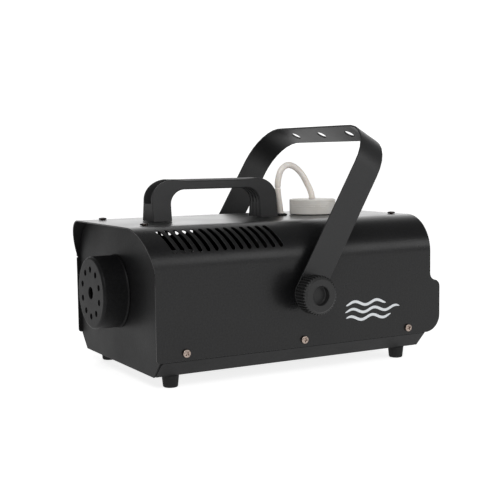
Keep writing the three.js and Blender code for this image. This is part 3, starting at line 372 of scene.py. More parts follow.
def plate(place, outer, thickness, holes=(), pockets=(), profile=None, hole_profile=None,
          inner_points=(), pocket_depth=0.0):
    """A closed plate with rounded edges over the flat pattern: outer outline, holes, pockets.

    profile and hole_profile are sections of the edges from the outer face round to the inner face.
    """
    profile = profile or edge_profile(thickness)
    hole_profile = hole_profile or edge_profile(thickness)
    vertices, faces, normals = [], [], []

    def add_vertex(u, v, depth, out_u=None, out_part=0.0, face_part=1.0):
        origin, normal, tangent_u, tangent_v = place(u, v)
        vertices.append(origin - normal * depth)
        direction = normal * face_part
        if out_u is not None:
            direction = direction + (tangent_u * out_u.x + tangent_v * out_u.y) * out_part
        normals.append(direction.normalized())
        return len(vertices) - 1

    def wall(points, section):
        """Rings of vertices down an edge; returns the first and the last ring."""
        away = outward(points)
        rings = []
        for offset, depth, *parts in section:
            rings.append([add_vertex(p[0] + a.x * offset, p[1] + a.y * offset, depth, a, *parts)
                          for p, a in zip(points, away)])
        for ring, below in zip(rings, rings[1:]):
            faces.extend(strip(ring, below))
        return rings[0], rings[-1]

    def cover_face(loops, points, depth, up):
        """Triangulates the face between the loops of vertex numbers."""
        flat_points, loop_faces, ids = [], [], []
        for loop_points, loop_ids in loops:
            start = len(flat_points)
            flat_points.extend(Vector(p) for p in loop_points)
            ids.extend(loop_ids)
            loop_faces.append(list(range(start, start + len(loop_points))))
        for u, v in points:
            flat_points.append(Vector((u, v)))
            ids.append(add_vertex(u, v, depth, face_part=1.0 if up else -1.0))
        made = delaunay_2d_cdt(flat_points, [], loop_faces, 2, 1e-5)
        sources = [origin[0] if origin else None for origin in made[3]]
        for triangle in made[2]:
            corners = [ids[sources[i]] for i in triangle]
            if area_of([tuple(made[0][i]) for i in triangle]) < 0:
                corners.reverse()
            faces.append(tuple(corners if up else corners[::-1]))

    def shifted(points, offset):
        return [(p[0] + a.x * offset, p[1] + a.y * offset) for p, a in zip(points, outward(points))]

    outer = oriented(list(outer), True)
    holes = [oriented(list(hole), False) for hole in holes]
    pockets = [oriented(list(pocket), False) for pocket in pockets]
    top_loops, bottom_loops = [], []
    for points, section in [(outer, profile)] + [(hole, hole_profile) for hole in holes]:
        first, last = wall(points, section)
        top_loops.append((shifted(points, section[0][0]), first))
        bottom_loops.append((shifted(points, section[-1][0]), last))
    for pocket in pockets:
        section = edge_profile(pocket_depth, EDGE / 2, 0.0)[:4] + [(0.0, pocket_depth, 1.0, 0.0)]
        first, last = wall(pocket, section)
        top_loops.append((shifted(pocket, section[0][0]), first))
        floor = [add_vertex(p[0], p[1], pocket_depth) for p in pocket]
        cover_face([(pocket, floor)], [], pocket_depth, True)
        for i, number in enumerate(last):
            vertices[number] = vertices[floor[i]].copy()
    cover_face(top_loops, inner_points, 0.0, True)
    cover_face(bottom_loops, inner_points, thickness, False)
    return vertices, faces, normals


# ---- turned and swept shapes

def turned(profile, axis="z", centre=(0, 0), count=96, radius_at=None):
    """A closed turned body. profile is a closed list of (radius, along); radius 0 is on the axis."""
    vertices, faces = [], []
    rings = []
    for number, (radius, along) in enumerate(profile):
        if radius < 1e-6:
            vertices.append(turned_point(0.0, 0.0, along, axis, centre))
            rings.append([len(vertices) - 1])
            continue
        ring = []
        for i in range(count):
            angle = 2 * math.pi * i / count
            r = radius if radius_at is None else radius_at(number, radius, angle)
            vertices.append(turned_point(r * math.cos(angle), r * math.sin(angle), along, axis,
                                         centre))
            ring.append(len(vertices) - 1)
        rings.append(ring)
    for a, b in zip(rings, rings[1:] + rings[:1]):
        if len(a) > 1 and len(b) > 1:
            faces += strip(a, b)
        elif len(b) > 1:
            faces += [(a[0], here, there) for here, there in zip(b, b[1:] + b[:1])]
        elif len(a) > 1:
            faces += [(here, b[0], there) for here, there in zip(a, a[1:] + a[:1])]
    return closed_outwards(vertices, faces)


def turned_point(across, up, along, axis, centre):
    if axis == "x":
        return Vector((along, centre[0] + across, centre[1] + up))
    if axis == "y":
        return Vector((centre[0] + across, along, centre[1] + up))
    return Vector((centre[0] + across, centre[1] + up, along))


def closed_outwards(vertices, faces):
    """Faces all looking outwards, shaded by their own angles."""
    volume = 0.0
    for face in faces:
        a = Vector(vertices[face[0]])
        for k in range(1, len(face) - 1):
            volume += a.dot(Vector(vertices[face[k]]).cross(Vector(vertices[face[k + 1]])))
    if volume < 0:
        faces = [tuple(reversed(face)) for face in faces]
    return vertices, faces, None


def smooth_path(points, steps=12):
    """A centripetal Catmull-Rom curve through the points."""
    points = [Vector(p) for p in points]
    points = [2 * points[0] - points[1]] + points + [2 * points[-1] - points[-2]]
    path = []
    for i in range(1, len(points) - 2):
        p0, p1, p2, p3 = points[i - 1:i + 3]
        t0 = 0.0
        t1 = t0 + (p1 - p0).length ** 0.5
        t2 = t1 + (p2 - p1).length ** 0.5
        t3 = t2 + (p3 - p2).length ** 0.5
        for k in range(steps):
            t = t1 + (t2 - t1) * k / steps
            a1 = p0 * ((t1 - t) / (t1 - t0)) + p1 * ((t - t0) / (t1 - t0))
            a2 = p1 * ((t2 - t) / (t2 - t1)) + p2 * ((t - t1) / (t2 - t1))
            a3 = p2 * ((t3 - t) / (t3 - t2)) + p3 * ((t - t2) / (t3 - t2))
            b1 = a1 * ((t2 - t) / (t2 - t0)) + a2 * ((t - t0) / (t2 - t0))
            b2 = a2 * ((t3 - t) / (t3 - t1)) + a3 * ((t - t1) / (t3 - t1))
            path.append(b1 * ((t2 - t) / (t2 - t1)) + b2 * ((t - t1) / (t2 - t1)))
    path.append(points[-2])
    return path


def swept_tube(path, outer, bore, count=24, radius_at=None):
    """A tube with a bore along the path, closed at both ends by its cut faces."""
    vertices, faces = [], []
    side = Vector((1, 0, 0))
    rings = []
    for i, here in enumerate(path):
        ahead = path[min(i + 1, len(path) - 1)] - path[max(i - 1, 0)]
        ahead.normalize()
        side = (side - ahead * side.dot(ahead)).normalized()
        up = ahead.cross(side)
        pair = []
        wanted = outer if radius_at is None else radius_at(i, outer)
        for radius in (wanted, bore):
            ring = []
            for k in range(count):
                angle = 2 * math.pi * k / count
                vertices.append(here + side * (radius * math.cos(angle))
                                + up * (radius * math.sin(angle)))
                ring.append(len(vertices) - 1)
            pair.append(ring)
        rings.append(pair)
    for (outer_a, bore_a), (outer_b, bore_b) in zip(rings, rings[1:]):
        for outside, inside in zip(strip(outer_a, outer_b), strip(bore_a, bore_b)):
            faces += [outside, inside[::-1]]
    for (outer_ring, bore_ring), flip in ((rings[0], False), (rings[-1], True)):
        for k in range(count):
            j = (k + 1) % count
            face = (outer_ring[k], outer_ring[j], bore_ring[j], bore_ring[k])
            faces.append(face[::-1] if flip else face)
    return closed_outwards(vertices, faces)


# ---- materials

def new_material(name):
    material = bpy.data.materials.new(name)
    material.use_nodes = True
    tree = material.node_tree
    return material, tree, tree.nodes["Principled BSDF"]


def node(tree, kind, **values):
    made = tree.nodes.new(kind)
    for key, value in values.items():
        if key in made.inputs:
            made.inputs[key].default_value = value
        else:
            setattr(made, key, value)
    return made


def dial(shader, **values):
    """Sets inputs by name, with _ for each space."""
    for key, value in values.items():
        shader.inputs[key.replace("_", " ")].default_value = value


def noise(tree, scale, detail):
    """Noise over the piece's own space; scale is in cycles per metre."""
    place = node(tree, "ShaderNodeTexCoord")
    made = node(tree, "ShaderNodeTexNoise", Scale=scale, Detail=detail, Roughness=0.5)
    tree.links.new(place.outputs["Object"], made.inputs["Vector"])
    return made.outputs["Fac"]


def ramp(tree, value, low, high, out_low, out_high):
    made = node(tree, "ShaderNodeMapRange")
    dial(made, From_Min=low, From_Max=high, To_Min=out_low, To_Max=out_high)
    tree.links.new(value, made.inputs["Value"])
    return made.outputs["Result"]


def mix_colour(tree, factor, a, b):
    made = tree.nodes.new("ShaderNodeMix")
    made.data_type = "RGBA"
    dial(made, A=(*a, 1), B=(*b, 1))
    tree.links.new(factor, made.inputs["Factor"])
    return made.outputs["Result"]


def bump(tree, shader, layers):
    """Stacks noise bumps: (scale per metre, height in metres, detail)."""
    last = None
    for scale, height, detail in layers:
        made = node(tree, "ShaderNodeBump", Strength=1.0, Distance=height)
        tree.links.new(noise(tree, scale, detail), made.inputs["Height"])
        if last is not None:
            tree.links.new(last, made.inputs["Normal"])
        last = made.outputs["Normal"]
    tree.links.new(last, shader.inputs["Normal"])


def surface(name, dark, light, rough_low, rough_high, *bumps, metallic=0.0, specular=0.5, speckle=900.0):
    """An opaque finish: fine speckle in colour, slow change in roughness, stacked bumps."""
    material, tree, shader = new_material(name)
    dial(shader, Metallic=metallic, Specular_IOR_Level=specular)
    grain = ramp(tree, noise(tree, speckle, 3.0), 0.35, 0.7, 0.0, 1.0)
    tree.links.new(mix_colour(tree, grain, dark, light), shader.inputs["Base Color"])
    slow = ramp(tree, noise(tree, 22.0, 3.0), 0.3, 0.7, rough_low, rough_high)
    tree.links.new(slow, shader.inputs["Roughness"])
    bump(tree, shader, bumps)
    return material


POWDER_COAT = surface("powder_coat", (0.0040, 0.0040, 0.0043), (0.0092, 0.0092, 0.0097), 0.27, 0.33,
                      (1100.0, 0.00003, 2.0), (430.0, 0.00007, 1.0), specular=0.32, speckle=600.0)
# The same powder coat with weaker, rougher reflections: painted shade that darkens the pan, front plate and
# nozzle drum as if they stood in shadow.
SHADED_COAT = surface("powder_coat_painted_shade", (0.0050, 0.0050, 0.0053), (0.0095, 0.0095, 0.0099), 0.42, 0.50,
                      (1100.0, 0.00002, 2.0), (430.0, 0.00005, 1.0), specular=0.12, speckle=600.0)
SATIN_PAINT = surface("satin_paint", (0.0060, 0.0061, 0.0065), (0.0095, 0.0096, 0.0101), 0.40, 0.46,
                      (900.0, 0.00002, 2.0), (350.0, 0.00002, 1.0), specular=0.45, speckle=800.0)
HANDLE_PLASTIC = surface("handle_plastic", (0.0170, 0.0170, 0.0176), (0.0215, 0.0215, 0.0222), 0.5, 0.56,
                         (1800.0, 0.00002, 2.0), specular=0.45, speckle=1600.0)
KNOB_PLASTIC = surface("knob_plastic", (0.0150, 0.0150, 0.0152), (0.0190, 0.0190, 0.0192), 0.48, 0.56,
                       (1500.0, 0.00002, 2.0), specular=0.34, speckle=1500.0)
BLACK_RUBBER = surface("black_rubber", (0.0075, 0.0075, 0.0077), (0.0110, 0.0110, 0.0112), 0.72, 0.82,
                       (1400.0, 0.00005, 2.0), specular=0.3)
SOCKET_PLASTIC = surface("socket_plastic", (0.0085, 0.0085, 0.0088), (0.0115, 0.0115, 0.0118), 0.4, 0.48,
                         (1600.0, 0.00003, 2.0), specular=0.4)
ROCKER_RED = surface("rocker_red", (0.30, 0.012, 0.010), (0.36, 0.018, 0.014), 0.18, 0.24,
                     (200.0, 0.00001, 1.0))
ZINC = surface("zinc_plate", (0.50, 0.49, 0.46), (0.60, 0.59, 0.57), 0.28, 0.42,
               (700.0, 0.00003, 3.0), metallic=1.0)
DULL_STEEL = surface("dull_steel", (0.020, 0.021, 0.023), (0.030, 0.031, 0.034), 0.7, 0.85,
                     (500.0, 0.00005, 3.0), specular=0.15)
NICKEL = surface("warm_nickel", (0.34, 0.27, 0.235), (0.44, 0.36, 0.31), 0.24, 0.34,
                 (900.0, 0.00002, 2.0), metallic=1.0)
BLACK_OXIDE = surface("black_oxide", (0.030, 0.024, 0.022), (0.060, 0.050, 0.046), 0.24, 0.34,
                      (900.0, 0.00002, 2.0), metallic=1.0)
BRASS = surface("brass", (0.55, 0.38, 0.16), (0.66, 0.48, 0.22), 0.25, 0.38,
                (900.0, 0.00002, 2.0), metallic=1.0)
CAST_ALLOY = surface("cast_alloy", (0.42, 0.42, 0.43), (0.54, 0.54, 0.55), 0.45, 0.6,
                     (600.0, 0.0001, 3.0), metallic=1.0)
BOARD_GREEN = surface("board_green", (0.012, 0.09, 0.03), (0.02, 0.13, 0.05), 0.3, 0.4,
                      (300.0, 0.00002, 1.0))
COMPONENT = surface("component_plastic", (0.06, 0.06, 0.05), (0.09, 0.09, 0.08), 0.5, 0.6,
                    (900.0, 0.00003, 2.0))
PRINT_WHITE = surface("printed_ink", (0.60, 0.62, 0.64), (0.68, 0.70, 0.72), 0.5, 0.6,
                      (1200.0, 0.00002, 2.0), specular=0.3)


def translucent(name, dark, light, roughness, weight, radius, *bumps):
    """A milky finish that light enters: subsurface scattering under a soft skin."""
    material, tree, shader = new_material(name)
    cloud = ramp(tree, noise(tree, 60.0, 3.0), 0.3, 0.7, 0.0, 1.0)
    tree.links.new(mix_colour(tree, cloud, dark, light), shader.inputs["Base Color"])
    slow = ramp(tree, noise(tree, 90.0, 2.0), 0.3, 0.7, roughness - 0.05, roughness + 0.05)
    tree.links.new(slow, shader.inputs["Roughness"])
    dial(shader, Subsurface_Weight=weight, Subsurface_Radius=radius, Subsurface_Scale=0.001)
    bump(tree, shader, bumps)
    return material


MILKY = translucent("milky_plastic", (0.74, 0.71, 0.66), (0.82, 0.80, 0.76), 0.42, 0.15,
                    (1.0, 0.9, 0.75), (500.0, 0.00004, 2.0))
SILICONE = translucent("hose_silicone", (0.92, 0.85, 0.78), (0.96, 0.90, 0.84), 0.26, 0.10,
                       (1.0, 0.7, 0.5), (400.0, 0.00004, 2.0))
TANK_PLASTIC = translucent("tank_plastic", (0.09, 0.086, 0.08), (0.13, 0.125, 0.115), 0.5, 0.1,
                           (1.0, 0.9, 0.75), (500.0, 0.00004, 2.0))


# ---- housing cover

COVER_FOLD = Fold(symmetric([(-HALF_W, COVER_Z, 0), (-HALF_W, TOP_Z, CORNER_R)]))
CORNER_START = HALF_W - CORNER_R  # from the middle line to the start of a corner
CORNER_END = CORNER_START + CORNER_R * math.pi / 2


def corner_s(angle):
    """Distance from the middle line to a place on the corner, angle from vertical."""
    return CORNER_START + CORNER_R * angle


def side_s(z):
    """Distance from the middle line down to height z on the cover's side."""
    return CORNER_END + (TOP_Z - CORNER_R - z)


def hood_y(angle):
    return COVER_FRONT - HOOD * (1 - (angle / (math.pi / 2)) ** HOOD_POWER)


def slot_outline(number):
    """One slanted cooling slot of even width with round ends, right side."""
    low_y = SLOT_FIRST_Y + number * SLOT_PITCH
    half = SLOT_W / 2
    span = corner_s(SLOT_LOW) - corner_s(SLOT_HIGH)
    low = Vector((corner_s(SLOT_LOW) - half, low_y - SLOT_LEAN * half / span))
    high = Vector((corner_s(SLOT_HIGH) + half, low_y - SLOT_LEAN * (1 - half / span)))
    lean = math.degrees(math.atan2(low.y - high.y, low.x - high.x))
    points = arc(low.x, low.y, half, lean - 90, lean + 90, 22.5)
    points += arc(high.x, high.y, half, lean + 90, lean + 270, 22.5)
    return spaced(points, 2.0)


def cover_outline():
    """Flat pattern of the cover: s across from the middle line, y along."""
    right = []
    step = CORNER_R * math.radians(3)
    steps = round((CORNER_END - CORNER_START) / step)
    for i in range(steps + 1):
        angle = math.pi / 2 * i / steps
        right.append((corner_s(angle), hood_y(angle)))
    low = side_s(COVER_Z)
    notch = 1.0  # small relief where the hood's curve meets the straight side edge
    right += [(CORNER_END + 2.6, COVER_FRONT), (CORNER_END + 2.6, COVER_FRONT + notch),
              (CORNER_END + 3.8, COVER_FRONT + notch), (CORNER_END + 3.8, COVER_FRONT)]
    r = FRONT_CORNER_R
    right += arc(low - r, COVER_FRONT + r, r, -90, 0, 15)
    rear_r = GUARD_CORNER_R
    right += arc(low - rear_r, GUARD_REAR - rear_r, rear_r, 0, 90, 7.5)
    reach = GUARD_REAR - COVER_REAR
    sweep = 2 * math.atan2(reach, GUARD_CURVE_H)
    curve = GUARD_CURVE_H / (2 * math.sin(sweep))
    sweep = math.degrees(sweep)
    top_s = side_s(GUARD_TOP)
    right += arc(top_s + GUARD_CURVE_H, GUARD_REAR - curve, curve, 90, 90 + sweep, 8)
    right += arc(top_s, COVER_REAR + curve, curve, sweep - 90, -90, 8)
    right += [(CORNER_END - step * i, COVER_REAR) for i in range(steps + 1)]
    left = [(-s, y) for s, y in reversed(right)]
    return right + left


def corner_grid(y0, y1, keep_out):
    """Points that let the skin follow both round corners."""
    points = []
    rows = 30
    columns = 84
    for side in (-1, 1):
        for row in range(rows + 1):
            angle = math.pi / 2 * row / rows
            front = max(y0, hood_y(angle))
            for column in range(columns + 1):
                s = corner_s(angle)
                y = front + 2.4 + (y1 - front - 4.8) * column / columns
                if not keep_out(s, y):
                    points.append((side * s, y))
    return points


def cover_shape():
    slots = [slot_outline(number) for number in range(SLOT_COUNT)]
    margin = 0.9

    def near_slot(s, y):
        if not corner_s(SLOT_HIGH) - margin < s < corner_s(SLOT_LOW) + margin:
            return False
        span = corner_s(SLOT_LOW) - corner_s(SLOT_HIGH)
        shift = SLOT_LEAN * (corner_s(SLOT_LOW) - s) / span
        along = (y + shift - SLOT_FIRST_Y) / SLOT_PITCH
        number = round(along)
        return 0 <= number < SLOT_COUNT and abs(along - number) * SLOT_PITCH < SLOT_W / 2 + margin

    both = (1, -1)
    drilled = [(k * side_s(screw.z), screw.y, SCREW_HOLE_R, 16) for screw in SIDE_SCREWS for k in both]
    drilled += [(k * side_s(PIVOT_Z), PIVOT_Y, PIVOT_HOLE_R) for k in both]
    drilled += [(screw.x, screw.y, SCREW_HOLE_R, 16) for screw in TOP_SCREWS]
    drilled += [(0, GROMMET_Y, GROMMET_HOLE_R, 32), (0, CAP_Y, TANK_HOLE_R, 64)]
    holes = slots + [[(-s, y) for s, y in slot] for slot in slots] + [circle(*hole) for hole in drilled]
    return plate(folded(COVER_FOLD), spaced(cover_outline(), 12.0), SHEET, holes,
                 inner_points=corner_grid(COVER_LOW.y, COVER_REAR, near_slot))


def centre_of(node_name):
    low, high = node_box(node_name)
    return (low + high) / 2


SIDE_SCREWS = [centre_of(f"side_screw_right_{number}") for number in (1, 2, 3)]
TOP_SCREW_NAMES = [f"top_screw_{end}_{side}" for end in ("front", "rear") for side in ("left", "right")]
TOP_SCREWS = [centre_of(name) for name in TOP_SCREW_NAMES]


# ---- pan and end panels

CHAMFER = 15.5
PAN_BEND_R = 2.0


def pan_shape():
    inner = PAN_HIGH.x
    floor_half = inner + 0.3 - CHAMFER
    z0, z1 = PAN_LOW.z, PAN_HIGH.z
    fold = Fold(symmetric([(inner - SHEET, z1, 0), (inner - SHEET, COVER_Z + 1.2, 0.6),
                           (inner, COVER_Z - 0.4, 0.6), (floor_half, z0, PAN_BEND_R)]))
    middle = fold.length / 2
    outline = rect(-middle, middle, PAN_LOW.y, PAN_HIGH.y, 1.0)
    holes = [rect(-22, 22, y, y + 3.5, 1.7) for y in range(-105, -42, 9)]
    inner_points = []
    for start, end in fold.bends():
        for k in range(5):
            s = start + (end - start) * k / 4 - middle
            for j in range(61):
                inner_points.append((s, PAN_LOW.y + 1.5 + (PAN_HIGH.y - PAN_LOW.y - 3) * j / 60))
    return plate(folded(fold), spaced(outline, 6.0), SHEET, holes, inner_points=inner_points)


def panel_outline(low):
    """Shared outline of both end panels: chamfered below, round shoulders above."""
    w = low.x * -1
    floor_half = HALF_W - CHAMFER
    top = FRONT_HIGH.z
    r = CORNER_R - SHEET - 0.6
    return rounded([(-floor_half, low.z, 1.5), (floor_half, low.z, 1.5), (w, COVER_Z - 0.6, 1.0),
                    (w, top, r), (-w, top, r), (-w, COVER_Z - 0.6, 1.0)], 3.0)


def front_panel_shape():
    place = flat((0, FRONT_LOW.y, 0), (1, 0, 0), (0, 0, 1))
    return plate(place, panel_outline(FRONT_LOW), SHEET, [circle(0, NOZZLE_Z, 15, 48)])


def rear_panel_shape():
    place = flat((0, REAR_HIGH.y, 0), (-1, 0, 0), (0, 0, 1))
    holes = []
    for name, clear in (("mains_inlet", 9.0), ("switch_frame", 2.0)):
        low, high = node_box(name)
        trim = 3.0 if name == "mains_inlet" else 2.0
        holes.append(rect(-high.x + clear - 0.3, -low.x - clear + 0.3, low.z + trim - 0.3,
                          high.z - trim + 0.3, 0.8))
    for name, rim in (("fuse_holder", 2.0), ("remote_socket", 3.0)):
        low, high = node_box(name)
        middle = (low + high) / 2
        holes.append(circle(-middle.x, middle.z, (high.z - low.z) / 2 - rim + 0.3, 40))
    holes += [rect(x, x + 50, z, z + 3, 1.45) for z in range(88, 128, 8) for x in (-70, 20)]
    return plate(place, panel_outline(REAR_LOW), SHEET, holes)


# ---- nozzle cover

def nozzle_shape():
    """A spun drum: perforated face, round shoulder, wall and a small lip at its base."""
    depth = NOZZLE_HIGH.y - NOZZLE_LOW.y
    face = 2.0
    lip = 0.6
    wall = 2.0
    section = shoulder(3.0, 8)
    section += [(0, depth - 2.6, 1, 0), (0.12, depth - 1.9, 0.95, 0.3), (0.35, depth - 1.4, 0.85, 0.5),
                (lip, depth - 0.9, 0.97, 0.2), (lip, depth - 0.4, 1, -0.1), (lip - 0.3, depth, 0.2, -1),
                (-wall + 0.3, depth, 0, -1), (-wall, depth - 0.3, -1, -0.2), (-wall, face + 1.2, -1, 0),
                (-wall - 0.3, face + 0.35, -0.7, -0.7), (-wall - 1.2, face, 0, -1)]
    place = flat((0, NOZZLE_LOW.y, NOZZLE_Z), (1, 0, 0), (0, 0, 1))
    holes = [circle(0, 0, 5.9, 40)]
    for i in range(10):
        angle = math.radians(90 - 36 * i)
        holes.append(circle(22.5 * math.cos(angle), 22.5 * math.sin(angle), 2.9, 28))
    return plate(place, circle(0, 0, NOZZLE_R, 128), face, holes, profile=section,
                 hole_profile=edge_profile(face, 0.35, 0.2))


# ---- carry handle

HANDLE_HALF_W = 10.7  # above the flared legs
HANDLE_FLARE = 20.0
HANDLE_LEG = 20.0
HANDLE_BAR = 10.0
HANDLE_OUTER_R = 20.0
HANDLE_REACH = 24.0  # length of the oval shoulder along the bar
HANDLE_INNER_R = 15.0
POCKET_HALF_W = 7.9
POCKET_DEPTH = 7.0
POCKET_FROM = 17.0
HANDLE_INNER_EDGE = 1.1
HANDLE_RIBS = 4
RIB_SPREAD = 0.83  # the outer ribs' place, as a share of the half width


def handle_half_width(z):
    foot = HANDLE_HIGH.x
    return foot + (HANDLE_HALF_W - foot) * min(1.0, (z - HANDLE_LOW.z) / HANDLE_FLARE)


def handle_station(kind, t, front):
    """Outer and inner point with their normals in (y, z), t of the way along a leg, bend or bar."""
    sign = 1 if front else -1
    base = HANDLE_LOW.y if front else HANDLE_HIGH.y
    foot, top = HANDLE_LOW.z, HANDLE_HIGH.z
    outer_y, outer_z = base + sign * HANDLE_REACH, top - HANDLE_OUTER_R
    inner_y = base + sign * (HANDLE_LEG + HANDLE_INNER_R)
    inner_z = top - HANDLE_BAR - HANDLE_INNER_R
    if kind == "leg":
        return ((base, foot + t * (outer_z - foot)),
                (base + sign * HANDLE_LEG, foot + t * (inner_z - foot)),
                (-sign, 0), (sign, 0))
    if kind == "bar":
        middle = (HANDLE_LOW.y + HANDLE_HIGH.y) / 2
        return ((outer_y + (middle - outer_y) * t, top),
                (inner_y + (middle - inner_y) * t, top - HANDLE_BAR),
                (0, 1), (0, -1))
    c, s = math.cos(math.pi / 2 * t), math.sin(math.pi / 2 * t)
    steep = Vector((HANDLE_OUTER_R * c, HANDLE_REACH * s)).normalized()
    return ((outer_y - sign * HANDLE_REACH * c, outer_z + HANDLE_OUTER_R * s),
            (inner_y - sign * HANDLE_INNER_R * c, inner_z + HANDLE_INNER_R * s),
            (-sign * steep.x, steep.y), (sign * c, -s))


def handle_section(deep, edge, rib, crown):
    """Cross-section as (share of the half width, offset across, depth, face).

    deep, from 0 to 1, opens the pocket; edge rounds the outer corners; rib raises the grip ribs.
    """
    corner, inner_corner = ([point[:2] for point in shoulder(r, 4)] for r in (edge, HANDLE_INNER_EDGE))
    outer = [(1, x, d + crown * (1 + x / HANDLE_HALF_W) ** 2) for x, d in corner[::-1]]
    depth = POCKET_DEPTH * deep
    for x, d in ((0.35, 0.0), (0.1, 0.1), (0.0, 0.35), (-0.1, depth - 0.4), (-0.5, depth), (-3.0, depth),
                 (-5.5, depth), (-POCKET_HALF_W, depth)):
        across = POCKET_HALF_W + x
        outer.append((0, across, max(0.0, min(d, depth)) + crown * (across / HANDLE_HALF_W) ** 2))
    left = [(-1 if share else 0, -x, d, "outer") for share, x, d in outer[:-1]]
    right = [(share, x, d, "outer") for share, x, d in outer[::-1]]
    inner = [(1, x, d, "inner") for x, d in inner_corner[::-1]]
    slope = ((1.25, 0.0), (1.0, 0.25), (0.75, 0.85), (0.35, 1.0))
    for k in range(HANDLE_RIBS):
        middle = RIB_SPREAD * (1 - 2 * k / (HANDLE_RIBS - 1))
        inner += [(middle, x, rib * d, "inner") for x, d in slope]
        inner += [(middle, -x, rib * d, "inner") for x, d in slope[::-1]]
    inner += [(-1, -x, d, "inner") for x, d in inner_corner]
    return left + right + inner


def handle_shape():
    """A moulded bridge: legs that flare to their feet, deep shoulder pockets, grip ribs inside."""
    start = POCKET_FROM / (HANDLE_HIGH.z - HANDLE_OUTER_R - HANDLE_LOW.z)
    rows = [("leg", t, 0.0, 0.9, 0.5, 0.0) for t in (0.0, 0.03, 0.3, 0.6, start - 0.03, start)]
    rows += [("leg", t, 1.0, 0.9, 0.5, 0.0) for t in (start + 0.012, (start + 1) / 2, 0.985)]
    rows += [("bend", k / 24, 1.0, 0.9, 2.4, 0.0) for k in range(23)]
    rows += [("bend", 0.955, 1.0, 1.0, 2.4, 0.0), ("bend", 0.985, 0.8, 1.0, 2.4, 0.05),
             ("bend", 1.0, 0.0, 1.1, 2.4, 0.2)]
    rows += [("bar", k / 8, 0.0, 1.2, 2.0, min(2.0, 0.2 + 6 * k / 8)) for k in range(1, 9)]
    stations = [(handle_station(kind, t, True), shape) for kind, t, *shape in rows]
    stations += [(handle_station(kind, t, False), shape) for kind, t, *shape in rows[-2::-1]]
    vertices, rings = [], []
    for (outer, inner, outer_normal, inner_normal), shape in stations:
        ring = []
        for share, offset, depth, side in handle_section(*shape):
            origin, normal = (outer, outer_normal) if side == "outer" else (inner, inner_normal)
            half = handle_half_width(origin[1])
            vertices.append(Vector((share * half + offset, origin[0] - normal[0] * depth,
                                    origin[1] - normal[1] * depth)))
            ring.append(len(vertices) - 1)
        rings.append(ring)
    faces = [quad for a, b in zip(rings, rings[1:]) for quad in strip(a, b)]
    faces += [tuple(rings[0]), tuple(reversed(rings[-1]))]
    return closed_outwards(vertices, faces)


# ---- yoke and pivots

def yoke_shape():
    w, wt, top = YOKE_HALF_W, YOKE_TOP_HALF_W, YOKE_REACH
    half = YOKE_STRAP / 2
    fold = Fold(symmetric([(-w, -half, 0), (-w, half + 6, YOKE_LEAN_R), (-wt, top, YOKE_BEND_R)]))
    middle = fold.length / 2
    front = -YOKE_OFFSET
    outline = arc(middle - half, front, half, -90, 90, 5)
    outline += arc(-middle + half, front, half, 90, 270, 5)
    outline = spaced(outline, 9.0)
    holes = [circle(middle - half, 0, PIVOT_HOLE_R), circle(-middle + half, 0, PIVOT_HOLE_R)]
    holes += [circle(k * YOKE_HOLE_SPACING, front, YOKE_HOLE_R, 36) for k in (-1, 0, 1)]
    inner_points = []
    for start, end in fold.bends():
        rows = max(2, round((end - start) / 2.2))
        for k in range(rows + 1):
            s = start + (end - start) * k / rows - middle
            if abs(abs(s) - (middle - half)) > 6:
                inner_points += [(s, front + y) for y in (-half + 1.2, -7.0, 0.0, 7.0, half - 1.2)]
    shape = plate(folded(fold), outline, YOKE_T, holes, profile=edge_profile(YOKE_T, 0.4, 0.4, 4),
                  hole_profile=edge_profile(YOKE_T, 0.25, 0.25), inner_points=inner_points)
    tilt = Matrix.Translation((0, PIVOT_Y, PIVOT_Z)) @ Matrix.Rotation(-YOKE_TILT, 4, "X")
    return moved(shape, tilt)


KNOB_TEETH = 38
KNOB_R = 18.6


def knob_shape(side):
    """A knurled clamp knob: toothed rim, bevelled face, deep round well, hub behind."""
    low, high = node_box(f"clamp_knob_{'right' if side > 0 else 'left'}")
    face = max(abs(low.x), abs(high.x))
    hub_back = min(abs(low.x), abs(high.x))
    rim_back = 114.6
    well = 6.6
    bore_end = face - well - 2.4
    hub_r = 11.0
    profile = [(0, face - well), (8.2, face - well), (8.9, face - well + 0.5), (9.1, face - 0.5),
               (9.5, face - 0.1), (10.0, face), (14.9, face), (15.3, face - 0.12), (15.9, face - 0.9),
               (16.3, face - 1.1), (17.4, face - 1.6), (KNOB_R - 0.2, face - 2.4), (KNOB_R, face - 3.2),
               (KNOB_R, rim_back + 1.0), (KNOB_R - 0.4, rim_back + 0.3), (KNOB_R - 1.2, rim_back),
               (hub_r + 0.6, rim_back), (hub_r, rim_back - 0.6), (hub_r, hub_back + 0.5),
               (hub_r - 0.5, hub_back), (PIVOT_HOLE_R, hub_back), (PIVOT_HOLE_R, bore_end), (0, bore_end)]
    depth = {10: 0.45, 11: 1.15, 12: 1.3, 13: 1.3, 14: 1.1, 15: 0.5}  # of the teeth, by profile point

    def radius_at(number, radius, angle):
        if number not in depth:
            return radius
        phase = (angle * KNOB_TEETH / (2 * math.pi)) % 1.0
        dip = min(1.0, max(0.0, (0.30 - abs(phase - 0.5)) / 0.10))
        return radius - depth[number] * dip

    shape = turned(profile, "x", (0, 0), KNOB_TEETH * 16, radius_at)
    turn = Matrix.Rotation(0 if side > 0 else math.pi, 4, "Z")
    return moved(shape, Matrix.Translation((0, PIVOT_Y, PIVOT_Z)) @ turn)


def ring_shape(node_name, edge):
    """A washer or spacer about the pivot with rounded edges, from its CAD box."""
    bore = PIVOT_HOLE_R
    low, high = node_box(node_name)
    r = (high.z - low.z) / 2
    profile = [(bore, low.x + edge), (bore + edge, low.x), (r - edge, low.x),
               (r - edge * 0.3, low.x + edge * 0.3), (r, low.x + edge), (r, high.x - edge),
               (r - edge * 0.3, high.x - edge * 0.3), (r - edge, high.x), (bore + edge, high.x),
               (bore, high.x - edge)]
    return turned(profile, "x", (PIVOT_Y, PIVOT_Z), 64)


# ---- fluid cap, hose, grommet

